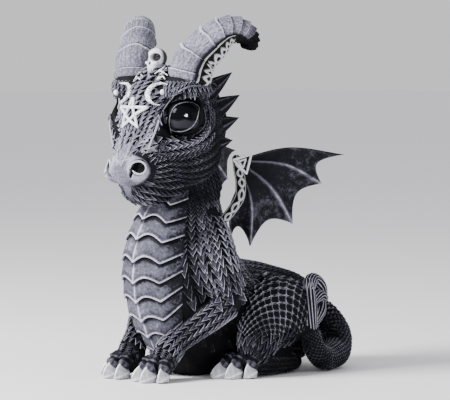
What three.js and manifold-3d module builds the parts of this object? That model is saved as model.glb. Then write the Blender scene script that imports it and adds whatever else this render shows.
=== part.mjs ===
// Seated young dragon, a small statue cast in one piece of solid resin.
// Millimetres, +Z up. The dragon looks along -Y and its left side is +X.
import * as THREE from 'three';
import { mergeVertices } from 'three/addons/utils/BufferGeometryUtils.js';
import Module from 'manifold-3d';

const wasm = await Module();
wasm.setup();

// Driving dimensions
const height = 110; // floor to the top of the horns
const membraneThickness = 1.5; // skin of the wing between its fingers
const wingFingerThickness = 2.4; // the wing at its finger bones
const plateRelief = 1.2; // step from the lip of a belly plate to the next plate
const hornRelief = 0.9; // step from the lip of a horn ring to the next ring
const ornamentRelief = 0.55; // how far the star and the moons stand off the brow
const plateCount = 10; // belly plates from throat to groin
const hornRings = 9; // stepped rings on each horn

// The body is a free form: its points are hundredths of the height
const unit = height / 100;
const weldDistance = 1e-4;
const seamTolerance = 0.35; // slivers along the seams between forms are cleaned away to this

// A limb is a capsule bent along a smooth line of stops. Each stop is [x, y, z, half width, half depth].
// It may be stepped into rings, and a dip draws the middle of each ring onwards into a point.
function limb(stops, { sides = 10, steps = 2, domes = 2, across = [1, 0, 0], rings = 0, relief = 0, dip = 0 } = {}) {
  const spine = new THREE.CatmullRomCurve3(stops.map(([x, y, z]) => new THREE.Vector3(x, y, z)));
  const girth = new THREE.CatmullRomCurve3(stops.map((stop) => new THREE.Vector3(stop[3], stop[4] ?? stop[3], 0)));
  const stations = rings ? 2 * rings : steps * (stops.length - 1);
  const geometry = new THREE.CapsuleGeometry(1, 1, domes, sides, stations);
  const place = geometry.attributes.position;
  for (let i = 0; i < place.count; i += 1) {
    const beyond = Math.sign(place.getY(i)) * Math.max(0, Math.abs(place.getY(i)) - 0.5);
    const even = THREE.MathUtils.clamp(place.getY(i) + 0.5, 0, 1);
    const { share, swell } = rings ? ringStation(even, rings, relief / unit) : { share: even, swell: 0 };
    const along = spine.getTangent(share);
    const wide = new THREE.Vector3(...across);
    wide.addScaledVector(along, -wide.dot(along)).normalize();
    const deep = new THREE.Vector3().crossVectors(wide, along);
    const size = girth.getPoint(share).addScalar(swell);
    const point = spine.getPoint(share);
    point.addScaledVector(along, beyond * size.y + dip * (1 - Math.abs(place.getX(i))));
    point.addScaledVector(wide, place.getX(i) * size.x);
    point.addScaledVector(deep, place.getZ(i) * size.y);
    place.setXYZ(i, ...point.multiplyScalar(unit));
  }
  return geometry;
}

// Stepped rings: each one opens out slowly and drops back sharply to the next
function ringStation(even, rings, relief) {
  const lipAt = 0.8;
  const station = Math.round(even * 2 * rings);
  const lip = station % 2 === 1;
  return { share: (Math.floor(station / 2) + (lip ? lipAt : 0)) / rings, swell: lip ? relief / 2 : -relief / 2 };
}

function ball([x, y, z], [rx, ry, rz], { sides = 14, rows = 10, turn = [0, 0, 0] } = {}) {
  const geometry = new THREE.SphereGeometry(1, sides, rows).scale(rx * unit, ry * unit, rz * unit);
  const pose = new THREE.Matrix4().makeRotationFromEuler(new THREE.Euler(...turn));
  return geometry.applyMatrix4(pose.setPosition(x * unit, y * unit, z * unit));
}

// The same form on the dragon's right side
function mirrored(geometry) {
  const copy = geometry.index ? geometry.clone() : mergeVertices(geometry);
  copy.scale(-1, 1, 1);
  const corners = copy.index.array;
  for (let i = 0; i < corners.length; i += 3) {
    [corners[i], corners[i + 1]] = [corners[i + 1], corners[i]];
  }
  return copy;
}

const pair = (geometries) => geometries.flatMap((geometry) => [geometry, mirrored(geometry)]);

function solid(geometry) {
  const bare = geometry.clone();
  bare.deleteAttribute('normal');
  bare.deleteAttribute('uv');
  const welded = mergeVertices(bare, weldDistance);
  const corners = [];
  for (let i = 0; i < welded.index.count; i += 3) {
    const [a, b, c] = welded.index.array.slice(i, i + 3);
    if (a !== b && b !== c && c !== a) corners.push(a, b, c);
  }
  return new wasm.Manifold(new wasm.Mesh({
    numProp: 3,
    vertProperties: welded.attributes.position.array,
    triVerts: new Uint32Array(corners),
  }));
}

const join = (geometries) => geometries.map(solid).reduce((whole, piece) => whole.add(piece));

// Trunk: rump, back and neck, the breast in front stepped into belly plates, and the flat seat below
function trunk() {
  const back = limb([
    [0, 25, 14.6, 12.4, 12.4],
    [0, 13, 17, 13, 13],
    [0, 0, 20, 13, 13],
    [0, -8, 29, 12.5, 12.5],
    [0, -9.5, 39, 11, 11.5],
    [0, -9.3, 48, 10, 9.6],
    [0, -12, 57, 10.5, 10],
  ], { sides: 12 });
  const breast = limb([
    [0, -9.5, 54, 8.8, 8.3],
    [0, -14.6, 44, 10.2, 9.8],
    [0, -17.8, 34, 11.6, 11.4],
    [0, -17.4, 25.5, 11.9, 11.8],
    [0, -14, 16.5, 11.2, 11.2],
    [0, -9, 8, 9, 9.5],
  ], { sides: 14, rings: plateCount, relief: plateRelief, dip: 1.5 });
  const seat = limb([[0, 24, 8, 10.6, 8.9], [0, 9, 8, 11.6, 8.9], [0, -5, 8, 10.4, 8.9]], { steps: 1, domes: 1 });
  return [back, breast, seat];
}

// Head: skull, face, cheeks, muzzle, jaw, brows and nose
const eyeCentre = [10.8, -20.8, 71.8];
const eyeRadius = 5.5;

function head() {
  const middle = [
    ball([0, -15.5, 70], [15.3, 13, 14.3], { sides: 16, rows: 10 }),
    ball([0, -21, 70.5], [11.5, 10.3, 13]),
    limb([[0, -24, 70, 7, 6], [0, -28, 63.5, 6.6, 6], [0, -30.5, 59.5, 6.2, 5]]),
    limb([[0, -20, 60, 9.8, 9], [0, -26, 58.8, 8.8, 7.6], [0, -30.6, 57.6, 7, 5.2]]),
    limb([[0, -18, 56, 9.2, 8], [0, -24.4, 54, 7.6, 6], [0, -28.8, 53, 5.2, 4.2]]),
  ];
  const side = [
    ball([8, -16, 61.5], [8.2, 10.4, 9.6], { sides: 10, rows: 8 }),
    ball([8.6, -19, 68], [6.8, 8.6, 8], { sides: 8, rows: 5 }),
    ball([5.5, -31.6, 58.6], [3.8, 3.8, 3.8], { sides: 10, rows: 6 }),
    ball(eyeCentre, [eyeRadius, eyeRadius, eyeRadius], { sides: 12, rows: 8 }),
    browRidge(),
  ];
  return [...middle, ...pair(side), ...pair(cheekSpikes())];
}

function browRidge() {
  return limb([
    [5.4, -30.6, 61.5, 1.5],
    [7, -30, 65.5, 1.9],
    [8.8, -29.4, 69.8, 2],
    [11, -28.4, 74, 2],
    [14, -25.2, 78, 1.9],
    [15.6, -20, 79.6, 1.6],
  ], { sides: 6, steps: 1, domes: 1 });
}

// Flat ribbed spikes along the back edge of the cheek: [root, tip]
function cheekSpikes() {
  const spikes = [
    [[11.7, -13.3, 79], [15.4, -7.4, 84.3]],
    [[12.4, -11, 74.2], [16.4, -5.4, 78]],
    [[11.8, -10.8, 68.4], [16, -5.6, 70.4]],
    [[10.4, -10.4, 62.2], [14.4, -6.2, 62.7]],
  ];
  return spikes.map(([root, tip]) => {
    const middle = root.map((value, axis) => (value + tip[axis]) / 2);
    return limb([[...root, 3.4, 1.5], [...middle, 2.4, 1.1], [...tip, 0.5, 0.4]], {
      sides: 5, steps: 1, domes: 1, across: [0, 0, 1],
    });
  });
}

const nostrils = () => pair([ball([7, -34.6, 59], [2, 1.8, 1.7], { sides: 10, rows: 8 })]);

// Horns: stepped rings, rising, sweeping out and back, with the tip curled under
const hornStops = [
  [10.4, -20.8, 80.5, 5.3],
  [10.9, -20.3, 84.4, 5.1],
  [12, -18.3, 89, 4.7],
  [14.6, -15.5, 93.2, 4.4],
  [17.2, -12.9, 95.5, 4.1],
  [19.4, -10.4, 96, 3.7],
  [20.9, -8.1, 94.9, 3.2],
  [21.2, -6.7, 93, 2.6],
  [20.3, -6.6, 91.2, 1.9],
];
const horn = () => limb(hornStops, { sides: 9, domes: 1, across: [0.78, -0.62, 0], rings: hornRings, relief: hornRelief });

// Skull, five-pointed star and two moons on the brow
const browCentre = [0, -30.7, 73.4];
const browTilt = 0.2; // how far the brow leans back, in radians

function skullOrnament() {
  const bone = [
    ball([0, -22.2, 88.3], [2.9, 2.9, 2.8], { sides: 10, rows: 7 }),
    limb([[0, -23.6, 86.4, 1.8], [0, -24.3, 84.8, 1.4]], { sides: 6, steps: 1, domes: 2 }),
    limb([[0, -22, 86, 2], [0, -21.5, 82, 2.6]], { sides: 6, steps: 1, domes: 2 }),
  ];
  return bone;
}

const skullSockets = () => pair([ball([1.15, -24.9, 88], [0.85, 1, 0.9], { sides: 8, rows: 6 })]);

function star() {
  const radius = 3.8;
  const strip = 0.42;
  const tip = (k) => {
    const angle = Math.PI / 2 + (k * 4 * Math.PI) / 5;
    const rise = radius * Math.sin(angle);
    const [x, y, z] = browCentre;
    return [x + radius * Math.cos(angle), y + rise * Math.sin(browTilt), z + rise * Math.cos(browTilt)];
  };
  const bars = [];
  for (let k = 0; k < 5; k += 1) {
    const lift = (1 + 0.12 * k) * (ornamentRelief / unit); // the bars cross over and under
    const ends = [tip(k), tip(k + 1)].map((point) => [...point, strip, lift]);
    bars.push(limb(ends, { sides: 4, steps: 1, domes: 1, across: [0, Math.sin(browTilt), Math.cos(browTilt)] }));
  }
  return bars;
}

function moon() {
  const stops = [];
  for (let k = -3; k <= 3; k += 1) {
    const angle = Math.PI + (k / 3) * 1.9;
    const fat = Math.cos((k / 3) * 1.45);
    const x = 10 + 3.1 * Math.cos(angle);
    const z = 78.4 + 3.1 * Math.sin(angle);
    stops.push([x, -30 + 0.28 * (x - 7) + 0.25 * (z - 78), z, 0.35 + 0.6 * fat, ornamentRelief / unit]);
  }
  return limb(stops, { sides: 5, steps: 1, domes: 1, across: [0.96, 0.28, 0] });
}

// Wing: an arm to the wrist, four fingers, and scalloped skin between them
const wingRoot = [6, -4.5, 46];
const wingWrist = [9, -0.4, 59.8];
const wingFacing = new THREE.Vector3(0.907, -0.421, 0);
const wingFingers = [
  [wingWrist, [16, 13.6, 63.2], [22.6, 28.7, 61]],
  [wingWrist, [15, 12.8, 58.4], [19.6, 22.8, 52.8]],
  [wingWrist, [13.2, 8.6, 52.2], [16, 14.9, 41.7]],
  [wingWrist, [10.8, 3.4, 48.4], [10.8, 3.3, 35.8]],
];
const wingFoot = [6, 0.6, 38];

const line = (points) => new THREE.CatmullRomCurve3(points.map((point) => new THREE.Vector3(...point)));

function wing() {
  const arm = limb([
    [...wingRoot, 3.4, 3],
    [8.2, 0, 50.5, 2, 1.8],
    [9.6, 1.2, 55.5, 1.6, 1.6],
    [...wingWrist, 1.7, 1.7],
  ], { sides: 8, domes: 1 });
  const thumb = limb([[9, -0.6, 59, 1.7, 1.1], [9.4, -1.6, 62.4, 0.4, 0.3]], { sides: 6, steps: 1, domes: 1 });
  return [arm, thumb, wingSail()];
}

// One cupped sheet for the whole wing, thicker along each finger, with an edge scalloped between them
function wingSail() {
  const edges = [...wingFingers.map(line), line([wingWrist, [9, 1, 54], [6.6, -0.6, 46], wingFoot])];
  const panels = edges.length - 1;
  const columns = [0, 0.14, 0.5, 0.86, 1];
  const scallop = 0.17;
  const cup = 1.1;
  const geometry = new THREE.BoxGeometry(1, 1, 1, panels * (columns.length - 1), 3, 1);
  const place = geometry.attributes.position;
  for (let i = 0; i < place.count; i += 1) {
    const column = Math.round((place.getX(i) + 0.5) * panels * (columns.length - 1));
    const panel = Math.min(Math.floor(column / (columns.length - 1)), panels - 1);
    const sideways = columns[column - panel * (columns.length - 1)];
    const bow = Math.sin(Math.PI * sideways);
    const outward = 0.1 + (place.getY(i) + 0.5) * (0.9 - scallop * bow);
    const thickness = sideways % 1 === 0 ? wingFingerThickness : membraneThickness;
    const point = edges[panel].getPoint(outward).lerp(edges[panel + 1].getPoint(outward), sideways);
    point.addScaledVector(wingFacing, -cup * bow * outward);
    point.multiplyScalar(unit).addScaledVector(wingFacing, place.getZ(i) * thickness);
    place.setXYZ(i, ...point);
  }
  return geometry;
}

// Legs and feet. A toe runs level to its last knuckle and goes on as a claw down to the floor.
function toe([rx, ry, rz], [tx, ty], girth) {
  const at = (share, z, size) => [rx + (tx - rx) * share, ry + (ty - ry) * share, z, size * girth];
  const knuckle = at(0.66, 3.6, 0.95);
  const claw = [at(0.74, 3.5, 0.72), at(0.9, 2.2, 0.6), at(1, 0.4, 0.2)];
  return limb([at(0, rz, 1), knuckle, ...claw], { sides: 6, steps: 1, domes: 1 });
}

function foreleg() {
  return [
    limb([
      [6, -10.5, 43, 5, 6.5],
      [9.6, -11.4, 37.5, 6, 6.8],
      [12.6, -11.4, 32.5, 6, 6.6],
      [15.4, -9.8, 26.5, 4.9, 5.2],
      [15.3, -9.2, 22.8, 4.4, 4.7],
    ], { steps: 1 }),
    limb([
      [15.8, -9.8, 21, 3.8],
      [13.4, -13.6, 18, 3.9],
      [10.7, -17.9, 14.5, 3.6],
      [8.2, -21.8, 11, 3.3],
      [7.2, -25.4, 7.4, 3.2],
    ], { steps: 1 }),
    limb([[7.2, -25, 6.8, 3.6, 3.6], [7.4, -27.6, 3.4, 4.3, 3.4]], { steps: 1 }),
    toe([5, -27.4, 5], [3.4, -34, 0], 2),
    toe([7.6, -28, 5.2], [7.7, -34.6, 0], 2.1),
    toe([10, -26.8, 4.6], [12, -31.8, 0], 1.9),
  ];
}

function hindLeg() {
  return [
    ball([15, 9.5, 15], [7.6, 11, 11], { sides: 14, rows: 10, turn: [0.25, 0, 0] }),
    limb([[16.2, 3.4, 12.6, 5.8, 6.4], [17.8, -1, 9, 4.4, 4.8], [17.2, -2, 5.6, 3.1, 2.9]], { sides: 8, steps: 1 }),
    limb([[15, 15.5, 2.6, 3.2, 2.8], [16.4, 6.4, 3, 3.5, 3.2], [17, -3, 4, 4, 3.6]], { sides: 8, steps: 1 }),
    toe([15, -5.6, 4.6], [12.9, -13.4, 0], 2.1),
    toe([17, -4.6, 5], [17, -11.6, 0], 2.2),
    toe([19, -2, 4.6], [20.2, -7.2, 0], 2),
  ];
}

// Tail: out behind the left haunch, along the floor, then up to a draped tuft
function tail() {
  const taper = limb([
    [3, 27, 13, 8.4],
    [8, 32, 12.5, 6.6],
    [12.4, 34.4, 9, 5],
    [15.4, 32.6, 4.8, 4.2],
    [18.4, 28, 3.6, 3.5],
    [20.4, 22.8, 3.6, 3.1],
    [21.2, 18.4, 6.6, 2.8],
    [21, 16.8, 12, 2.5],
  ], { sides: 8 });
  const locks = [
    [[21, 16.8, 11, 2.2, 1.9], [20.8, 16.8, 18, 2.3, 1.9], [18.6, 18.4, 25, 1.7, 1.5]],
    [[19.4, 18, 23.6, 1.6, 1.5], [18.2, 20.6, 26, 2.1, 1.7], [17.8, 24, 23.8, 2, 1.6], [18.2, 25.6, 20, 0.8, 0.7]],
    [[18.2, 24.6, 20.4, 1, 0.9], [19.6, 21.8, 17, 2, 1.6], [21, 18.6, 14.6, 1.6, 1.5]],
  ];
  return [taper, ...locks.map((stops) => limb(stops, { sides: 6, steps: 1, domes: 1 }))];
}

// Everything below the floor is cut away, which leaves flat soles
function belowFloor() {
  const block = height;
  return new THREE.BoxGeometry(2 * block, 2 * block, block).translate(0, 0, -block / 2);
}

function dragon() {
  const grown = join([
    ...trunk(),
    ...head(),
    ...pair([horn(), ...wing(), ...foreleg(), ...hindLeg(), moon()]),
    ...tail(),
    ...skullOrnament(),
    ...star(),
  ]);
  const cast = grown.subtract(join([...nostrils(), ...skullSockets()])).subtract(solid(belowFloor()));
  return largest(cast.simplify(seamTolerance));
}

// A solid casting: sealed pockets between the joined forms are filled
function largest(whole) {
  return whole.decompose().reduce((best, piece) => (piece.volume() > best.volume() ? piece : best));
}

function geometryOf(manifold) {
  const mesh = manifold.getMesh();
  const geometry = new THREE.BufferGeometry();
  geometry.setAttribute('position', new THREE.BufferAttribute(mesh.vertProperties, mesh.numProp));
  geometry.setIndex(new THREE.BufferAttribute(mesh.triVerts, 1));
  return geometry;
}

// Resin: near black in the hollows, brushed with silver grey
const resin = new THREE.MeshStandardMaterial({ color: 0x4b4c55, roughness: 0.55, metalness: 0.1 });

const statue = new THREE.Mesh(geometryOf(dragon()), resin);
statue.name = 'dragon';

// The origin is on the floor, at the middle of the statue's outline
const outline = new THREE.Box3().setFromBufferAttribute(statue.geometry.attributes.position);
const middle = outline.getCenter(new THREE.Vector3());
statue.geometry.translate(-middle.x, -middle.y, -outline.min.z);

const model = new THREE.Group();
model.add(statue);

export default model;
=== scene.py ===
import math
import bmesh
import bpy
import numpy as np
from mathutils import Matrix, Vector, noise
from mathutils.bvhtree import BVHTree


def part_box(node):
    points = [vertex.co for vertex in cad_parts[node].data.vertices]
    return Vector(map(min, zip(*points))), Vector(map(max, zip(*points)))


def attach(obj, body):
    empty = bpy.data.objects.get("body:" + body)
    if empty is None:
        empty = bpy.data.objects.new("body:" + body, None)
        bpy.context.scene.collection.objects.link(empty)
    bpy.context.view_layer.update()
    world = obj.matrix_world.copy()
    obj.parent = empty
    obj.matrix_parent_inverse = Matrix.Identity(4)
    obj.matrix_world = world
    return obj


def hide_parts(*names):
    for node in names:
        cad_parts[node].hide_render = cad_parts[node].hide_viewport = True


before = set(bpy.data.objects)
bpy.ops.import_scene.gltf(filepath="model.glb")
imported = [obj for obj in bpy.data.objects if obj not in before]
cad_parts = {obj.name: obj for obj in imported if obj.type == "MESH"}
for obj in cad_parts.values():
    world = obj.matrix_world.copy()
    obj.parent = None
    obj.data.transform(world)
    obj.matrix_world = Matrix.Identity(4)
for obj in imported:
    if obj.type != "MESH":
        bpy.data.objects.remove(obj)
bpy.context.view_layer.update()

picture = {"width": 450, "height": 400}

# Places are hundredths of the statue's height, measured from the floor under its throat
lowest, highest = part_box("dragon")
measure = {"tall": 100.0, "foremost": -35.63}
unit = (highest[2] - lowest[2]) / measure["tall"]
origin = Vector((0.0, lowest[1] - measure["foremost"] * unit, lowest[2]))
toModel = Matrix.Translation(origin) @ Matrix.Scale(unit, 4)
view = {"azimuth": math.radians(47), "distance": 800.0, "height": 92.0, "focal": 2852.0, "horizon": 44.3,
        "axis": 215.0, "sensor": 36.0}
print("frame read, one unit is", round(unit * 1000, 4), "mm")


def cameraFrame():
    # Where the camera stands, in units, and its right, up and forward directions
    turn = view["azimuth"]
    level = Vector((math.cos(turn), math.sin(turn), 0))
    place = Vector((math.sin(turn), -math.cos(turn), 0)) * view["distance"] + Vector((0, 0, view["height"]))
    scale = view["distance"] / view["focal"]
    aim = level * ((picture["width"] / 2 - view["axis"]) * scale)
    aim.z = view["height"] - (picture["height"] / 2 - view["horizon"]) * scale
    forward = (aim - place).normalized()
    right = forward.cross(Vector((0, 0, 1))).normalized()
    return place, right, right.cross(forward), forward


def pixelRay(column, row):
    place, right, up, forward = cameraFrame()
    run = forward * view["focal"] + right * (column - picture["width"] / 2)
    run += up * (picture["height"] / 2 - row)
    return place, run.normalized()


# Curves and limbs
def splineAt(stops, share):
    # Catmull-Rom through the stops, with its slope
    stops = np.asarray(stops, float)
    knots = np.vstack([2 * stops[0] - stops[1], stops, 2 * stops[-1] - stops[-2]])
    spans = len(stops) - 1
    place = np.clip(np.asarray(share, float), 0, 1) * spans
    cell = np.minimum(place.astype(int), spans - 1)
    t = (place - cell)[..., None]
    a, b, c, d = (knots[cell + k] for k in range(4))
    value = 0.5 * (2 * b + (c - a) * t + (2 * a - 5 * b + 4 * c - d) * t**2 + (3 * b - a - 3 * c + d) * t**3)
    slope = 0.5 * ((c - a) + 2 * (2 * a - 5 * b + 4 * c - d) * t + 3 * (3 * b - a - 3 * c + d) * t**2)
    return value, slope[..., :3]


def unitRows(rows):
    return rows / np.maximum(np.linalg.norm(rows, axis=-1, keepdims=True), 1e-9)


def framesAt(stops, share, across):
    value, slope = splineAt(stops, share)
    along = unitRows(slope)
    wide = np.broadcast_to(np.asarray(across, float), along.shape)
    wide = unitRows(wide - along * np.sum(wide * along, axis=-1, keepdims=True))
    deep = np.cross(along, wide)
    return value[..., :3], along, wide, deep, value[..., 3], value[..., 4]


def full(stops):
    # A stop with one girth is round
    return [list(stop) + [stop[3]] if len(stop) == 4 else list(stop) for stop in stops]


def bendLimb(bm, stops, sides=24, rings=24, across=(1, 0, 0), relief=None, side=1, dome=0.1, blunt=1.0):
    # A sphere drawn out along the stops; relief(share, angle) gives a height and a wear
    wearAndLightLayer = bm.verts.layers.float.get("wearAndLight") or bm.verts.layers.float.new("wearAndLight")
    silverLayer = bm.verts.layers.float.get("silver") or bm.verts.layers.float.new("silver")
    made = bmesh.ops.create_uvsphere(bm, u_segments=sides, v_segments=rings, radius=1.0)["verts"]
    ball = np.array([v.co for v in made])
    rise = np.arctan2(ball[:, 2], np.hypot(ball[:, 0], ball[:, 1])) / math.pi + 0.5
    angle = np.arctan2(ball[:, 1], ball[:, 0])
    low = np.clip((dome - rise) / dome, 0, 1)
    high = np.clip((rise - 1 + dome) / dome, 0, 1)
    beyond = np.sin(high * math.pi / 2) - np.sin(low * math.pi / 2)
    shrink = np.cos(np.maximum(high, low) * math.pi / 2)
    share = np.clip((rise - dome) / (1 - 2 * dome), 0, 1)
    centre, along, wide, deep, girth, depth = framesAt(full(stops), share, across)
    height, wearAndLight, silver = np.zeros(len(made)), np.full(len(made), 0.5), np.zeros(len(made))
    if relief:
        height, wearAndLight, silver = relief(share, angle)
    reach = np.where(np.abs(beyond) > 0, shrink, 1.0)
    point = centre + along * (beyond * depth * blunt)[:, None]
    point += wide * ((girth + height) * np.cos(angle) * reach)[:, None]
    point += deep * ((depth + height) * np.sin(angle) * reach)[:, None]
    point[:, 0] *= side
    for k, v in enumerate(made):
        v.co = point[k]
        v[wearAndLightLayer] = wearAndLight[k]
        v[silverLayer] = silver[k]
    return made


def evenRelief(wearAndLight, silver=0.0):
    # No relief, and one wear and silver all over
    return lambda share, angle: (0 * share, wearAndLight + 0 * share, silver + 0 * share)


def addBall(bm, centre, radii, sides=32, rings=20, side=1):
    made = bmesh.ops.create_uvsphere(bm, u_segments=sides, v_segments=rings, radius=1.0)["verts"]
    bmesh.ops.scale(bm, vec=radii, verts=made)
    bmesh.ops.translate(bm, vec=centre, verts=made)
    bmesh.ops.scale(bm, vec=(side, 1, 1), verts=made)
    return made


def mergeShapes(bm, voxel, smoothing):
    # Overlapping closed forms become one skin
    bmesh.ops.recalc_face_normals(bm, faces=bm.faces)
    mesh = bpy.data.meshes.new("forms")
    bm.to_mesh(mesh)
    bm.free()
    source = bpy.data.objects.new("forms", mesh)
    bpy.context.collection.objects.link(source)
    remesh = source.modifiers.new("join", "REMESH")
    remesh.mode = "VOXEL"
    remesh.voxel_size = voxel
    soft = source.modifiers.new("soften", "SMOOTH")
    soft.factor = 0.5
    soft.iterations = smoothing
    joined = bpy.data.meshes.new_from_object(source.evaluated_get(bpy.context.evaluated_depsgraph_get()))
    bpy.data.objects.remove(source)
    bpy.data.meshes.remove(mesh)
    skin = bmesh.new()
    skin.from_mesh(joined)
    bpy.data.meshes.remove(joined)
    return skin


def keepAboveFloor(bm):
    for v in bm.verts:
        v.co.z = max(v.co.z, 0.0)


def wallBorder(bm, edges):
    # Thin walls out of the open edges, to be moved inwards; gives their corners and edges
    walls = bmesh.ops.extrude_edge_only(bm, edges=edges)["geom"]
    corners = [part for part in walls if isinstance(part, bmesh.types.BMVert)]
    return corners, [part for part in walls if isinstance(part, bmesh.types.BMEdge)]


def finishPiece(name, bm, material):
    bmesh.ops.recalc_face_normals(bm, faces=bm.faces)
    bmesh.ops.transform(bm, matrix=toModel, verts=bm.verts)
    mesh = bpy.data.meshes.new(name)
    bm.to_mesh(mesh)
    bm.free()
    finishMesh(name, mesh, material)


def finishMesh(name, mesh, material, smooth=True):
    piece = bpy.data.objects.new(name, mesh)
    bpy.context.collection.objects.link(piece)
    mesh.materials.append(material)
    mesh.polygons.foreach_set("use_smooth", [smooth] * len(mesh.polygons))
    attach(piece, "root")
    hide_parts("dragon")
    print("made", name, "with", sum(len(p.vertices) - 2 for p in mesh.polygons), "triangles")


# Finishes
def newMaterial(name):
    material = bpy.data.materials.new(name)
    material.use_nodes = True
    nodes = material.node_tree.nodes
    links = material.node_tree.links
    return material, nodes, links, nodes["Principled BSDF"]


def ramp(nodes, stops):
    node = nodes.new("ShaderNodeValToRGB")
    elements = node.color_ramp.elements
    while len(elements) < len(stops):
        elements.new(0.5)
    for element, (place, colour) in zip(elements, stops):
        element.position = place
        element.color = (*colour, 1)
    return node


def readAttribute(nodes, name):
    node = nodes.new("ShaderNodeAttribute")
    node.attribute_name = name
    return node.outputs["Fac"]


def addNoise(nodes, links, size, detail):
    coords = nodes.new("ShaderNodeTexCoord")
    node = nodes.new("ShaderNodeTexNoise")
    node.inputs["Scale"].default_value = size
    node.inputs["Detail"].default_value = detail
    links.new(coords.outputs["Object"], node.inputs["Vector"])
    return node.outputs["Fac"]


def addShift(nodes, links, source, share, shift=0.0):
    # The source times a share, plus a shift
    node = nodes.new("ShaderNodeMath")
    node.operation = "MULTIPLY_ADD"
    node.inputs[1].default_value = share
    node.inputs[2].default_value = shift
    links.new(source, node.inputs[0])
    return node


def addSum(nodes, links, first, second):
    node = nodes.new("ShaderNodeMath")
    links.new(first, node.inputs[0])
    links.new(second, node.inputs[1])
    return node.outputs[0]


def addBump(nodes, links, height, shader, strength):
    node = nodes.new("ShaderNodeBump")
    node.inputs["Strength"].default_value = strength
    node.inputs["Distance"].default_value = 0.0001
    links.new(height, node.inputs["Height"])
    links.new(node.outputs["Normal"], shader.inputs["Normal"])


resinLook = {
    "tones": [(0.0, (0.002, 0.002, 0.003)), (0.28, (0.009, 0.009, 0.013)), (0.62, (0.11, 0.11, 0.145)),
              (1.0, (0.5, 0.5, 0.58))],
    "silver": (0.74, 0.74, 0.76), "grainSize": 1700.0, "grainDetail": 4, "grainShare": 0.5,
    "patchSize": 160.0, "patchDetail": 3, "patchShare": 0.26,
    "smoothest": 0.58, "roughShare": 0.25, "specular": 0.12, "bump": 0.25,
}


def makeResin(look=resinLook):
    # Wear and painted light run from black hollows to brushed grey rims, and silver paint lies over it
    material, nodes, links, shader = newMaterial("brushedResin")
    grain = addNoise(nodes, links, look["grainSize"], look["grainDetail"])
    patch = addNoise(nodes, links, look["patchSize"], look["patchDetail"])
    grainShift = addShift(nodes, links, grain, look["grainShare"], -look["grainShare"] / 2)
    patchShift = addShift(nodes, links, patch, look["patchShare"], -look["patchShare"] / 2)
    both = addSum(nodes, links, grainShift.outputs[0], patchShift.outputs[0])
    total = addSum(nodes, links, readAttribute(nodes, "wearAndLight"), both)
    tone = ramp(nodes, look["tones"])
    links.new(total, tone.inputs["Fac"])
    paint = nodes.new("ShaderNodeMix")
    paint.data_type = "RGBA"
    paint.inputs[7].default_value = (*look["silver"], 1)
    links.new(readAttribute(nodes, "silver"), paint.inputs[0])
    links.new(tone.outputs["Color"], paint.inputs[6])
    links.new(paint.outputs[2], shader.inputs["Base Color"])
    shader.inputs["Specular IOR Level"].default_value = look["specular"]
    rough = addShift(nodes, links, grain, look["roughShare"], look["smoothest"])
    links.new(rough.outputs[0], shader.inputs["Roughness"])
    addBump(nodes, links, grain, shader, look["bump"])
    return material


silverLook = {
    "tones": [(0.0, (0.02, 0.02, 0.025)), (0.5, (0.36, 0.36, 0.4)), (1.0, (0.8, 0.8, 0.83))],
    "grainSize": 900.0, "grainDetail": 3, "grainShare": 0.4, "roughness": 0.5, "metallic": 0.15,
    "specular": 0.3, "bump": 0.2,
}


def makeSilver(look=silverLook):
    material, nodes, links, shader = newMaterial("silverPaint")
    grain = addNoise(nodes, links, look["grainSize"], look["grainDetail"])
    total = addShift(nodes, links, grain, look["grainShare"])
    links.new(readAttribute(nodes, "wearAndLight"), total.inputs[2])
    tone = ramp(nodes, look["tones"])
    links.new(total.outputs[0], tone.inputs["Fac"])
    links.new(tone.outputs["Color"], shader.inputs["Base Color"])
    shader.inputs["Metallic"].default_value = look["metallic"]
    shader.inputs["Specular IOR Level"].default_value = look["specular"]
    shader.inputs["Roughness"].default_value = look["roughness"]
    addBump(nodes, links, grain, shader, look["bump"])
    return material


# The white at the top is the painted reflection on each eye
glossLook = {
    "tones": [(0.0, (0.002, 0.002, 0.003)), (0.4, (0.003, 0.003, 0.004)), (0.72, (0.026, 0.026, 0.032)),
              (0.85, (0.05, 0.05, 0.06)), (1.0, (0.95, 0.95, 0.97))],
    "roughness": 0.1, "specular": 0.05,
}


def makeEyeGloss(look=glossLook):
    material, nodes, links, shader = newMaterial("eyeGloss")
    tone = ramp(nodes, look["tones"])
    links.new(readAttribute(nodes, "wearAndLight"), tone.inputs["Fac"])
    links.new(tone.outputs["Color"], shader.inputs["Base Color"])
    shader.inputs["Roughness"].default_value = look["roughness"]
    shader.inputs["Specular IOR Level"].default_value = look["specular"]
    return material


resin = makeResin()
silverPaint = makeSilver()
eyeGloss = makeEyeGloss()
print("finishes made")

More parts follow.
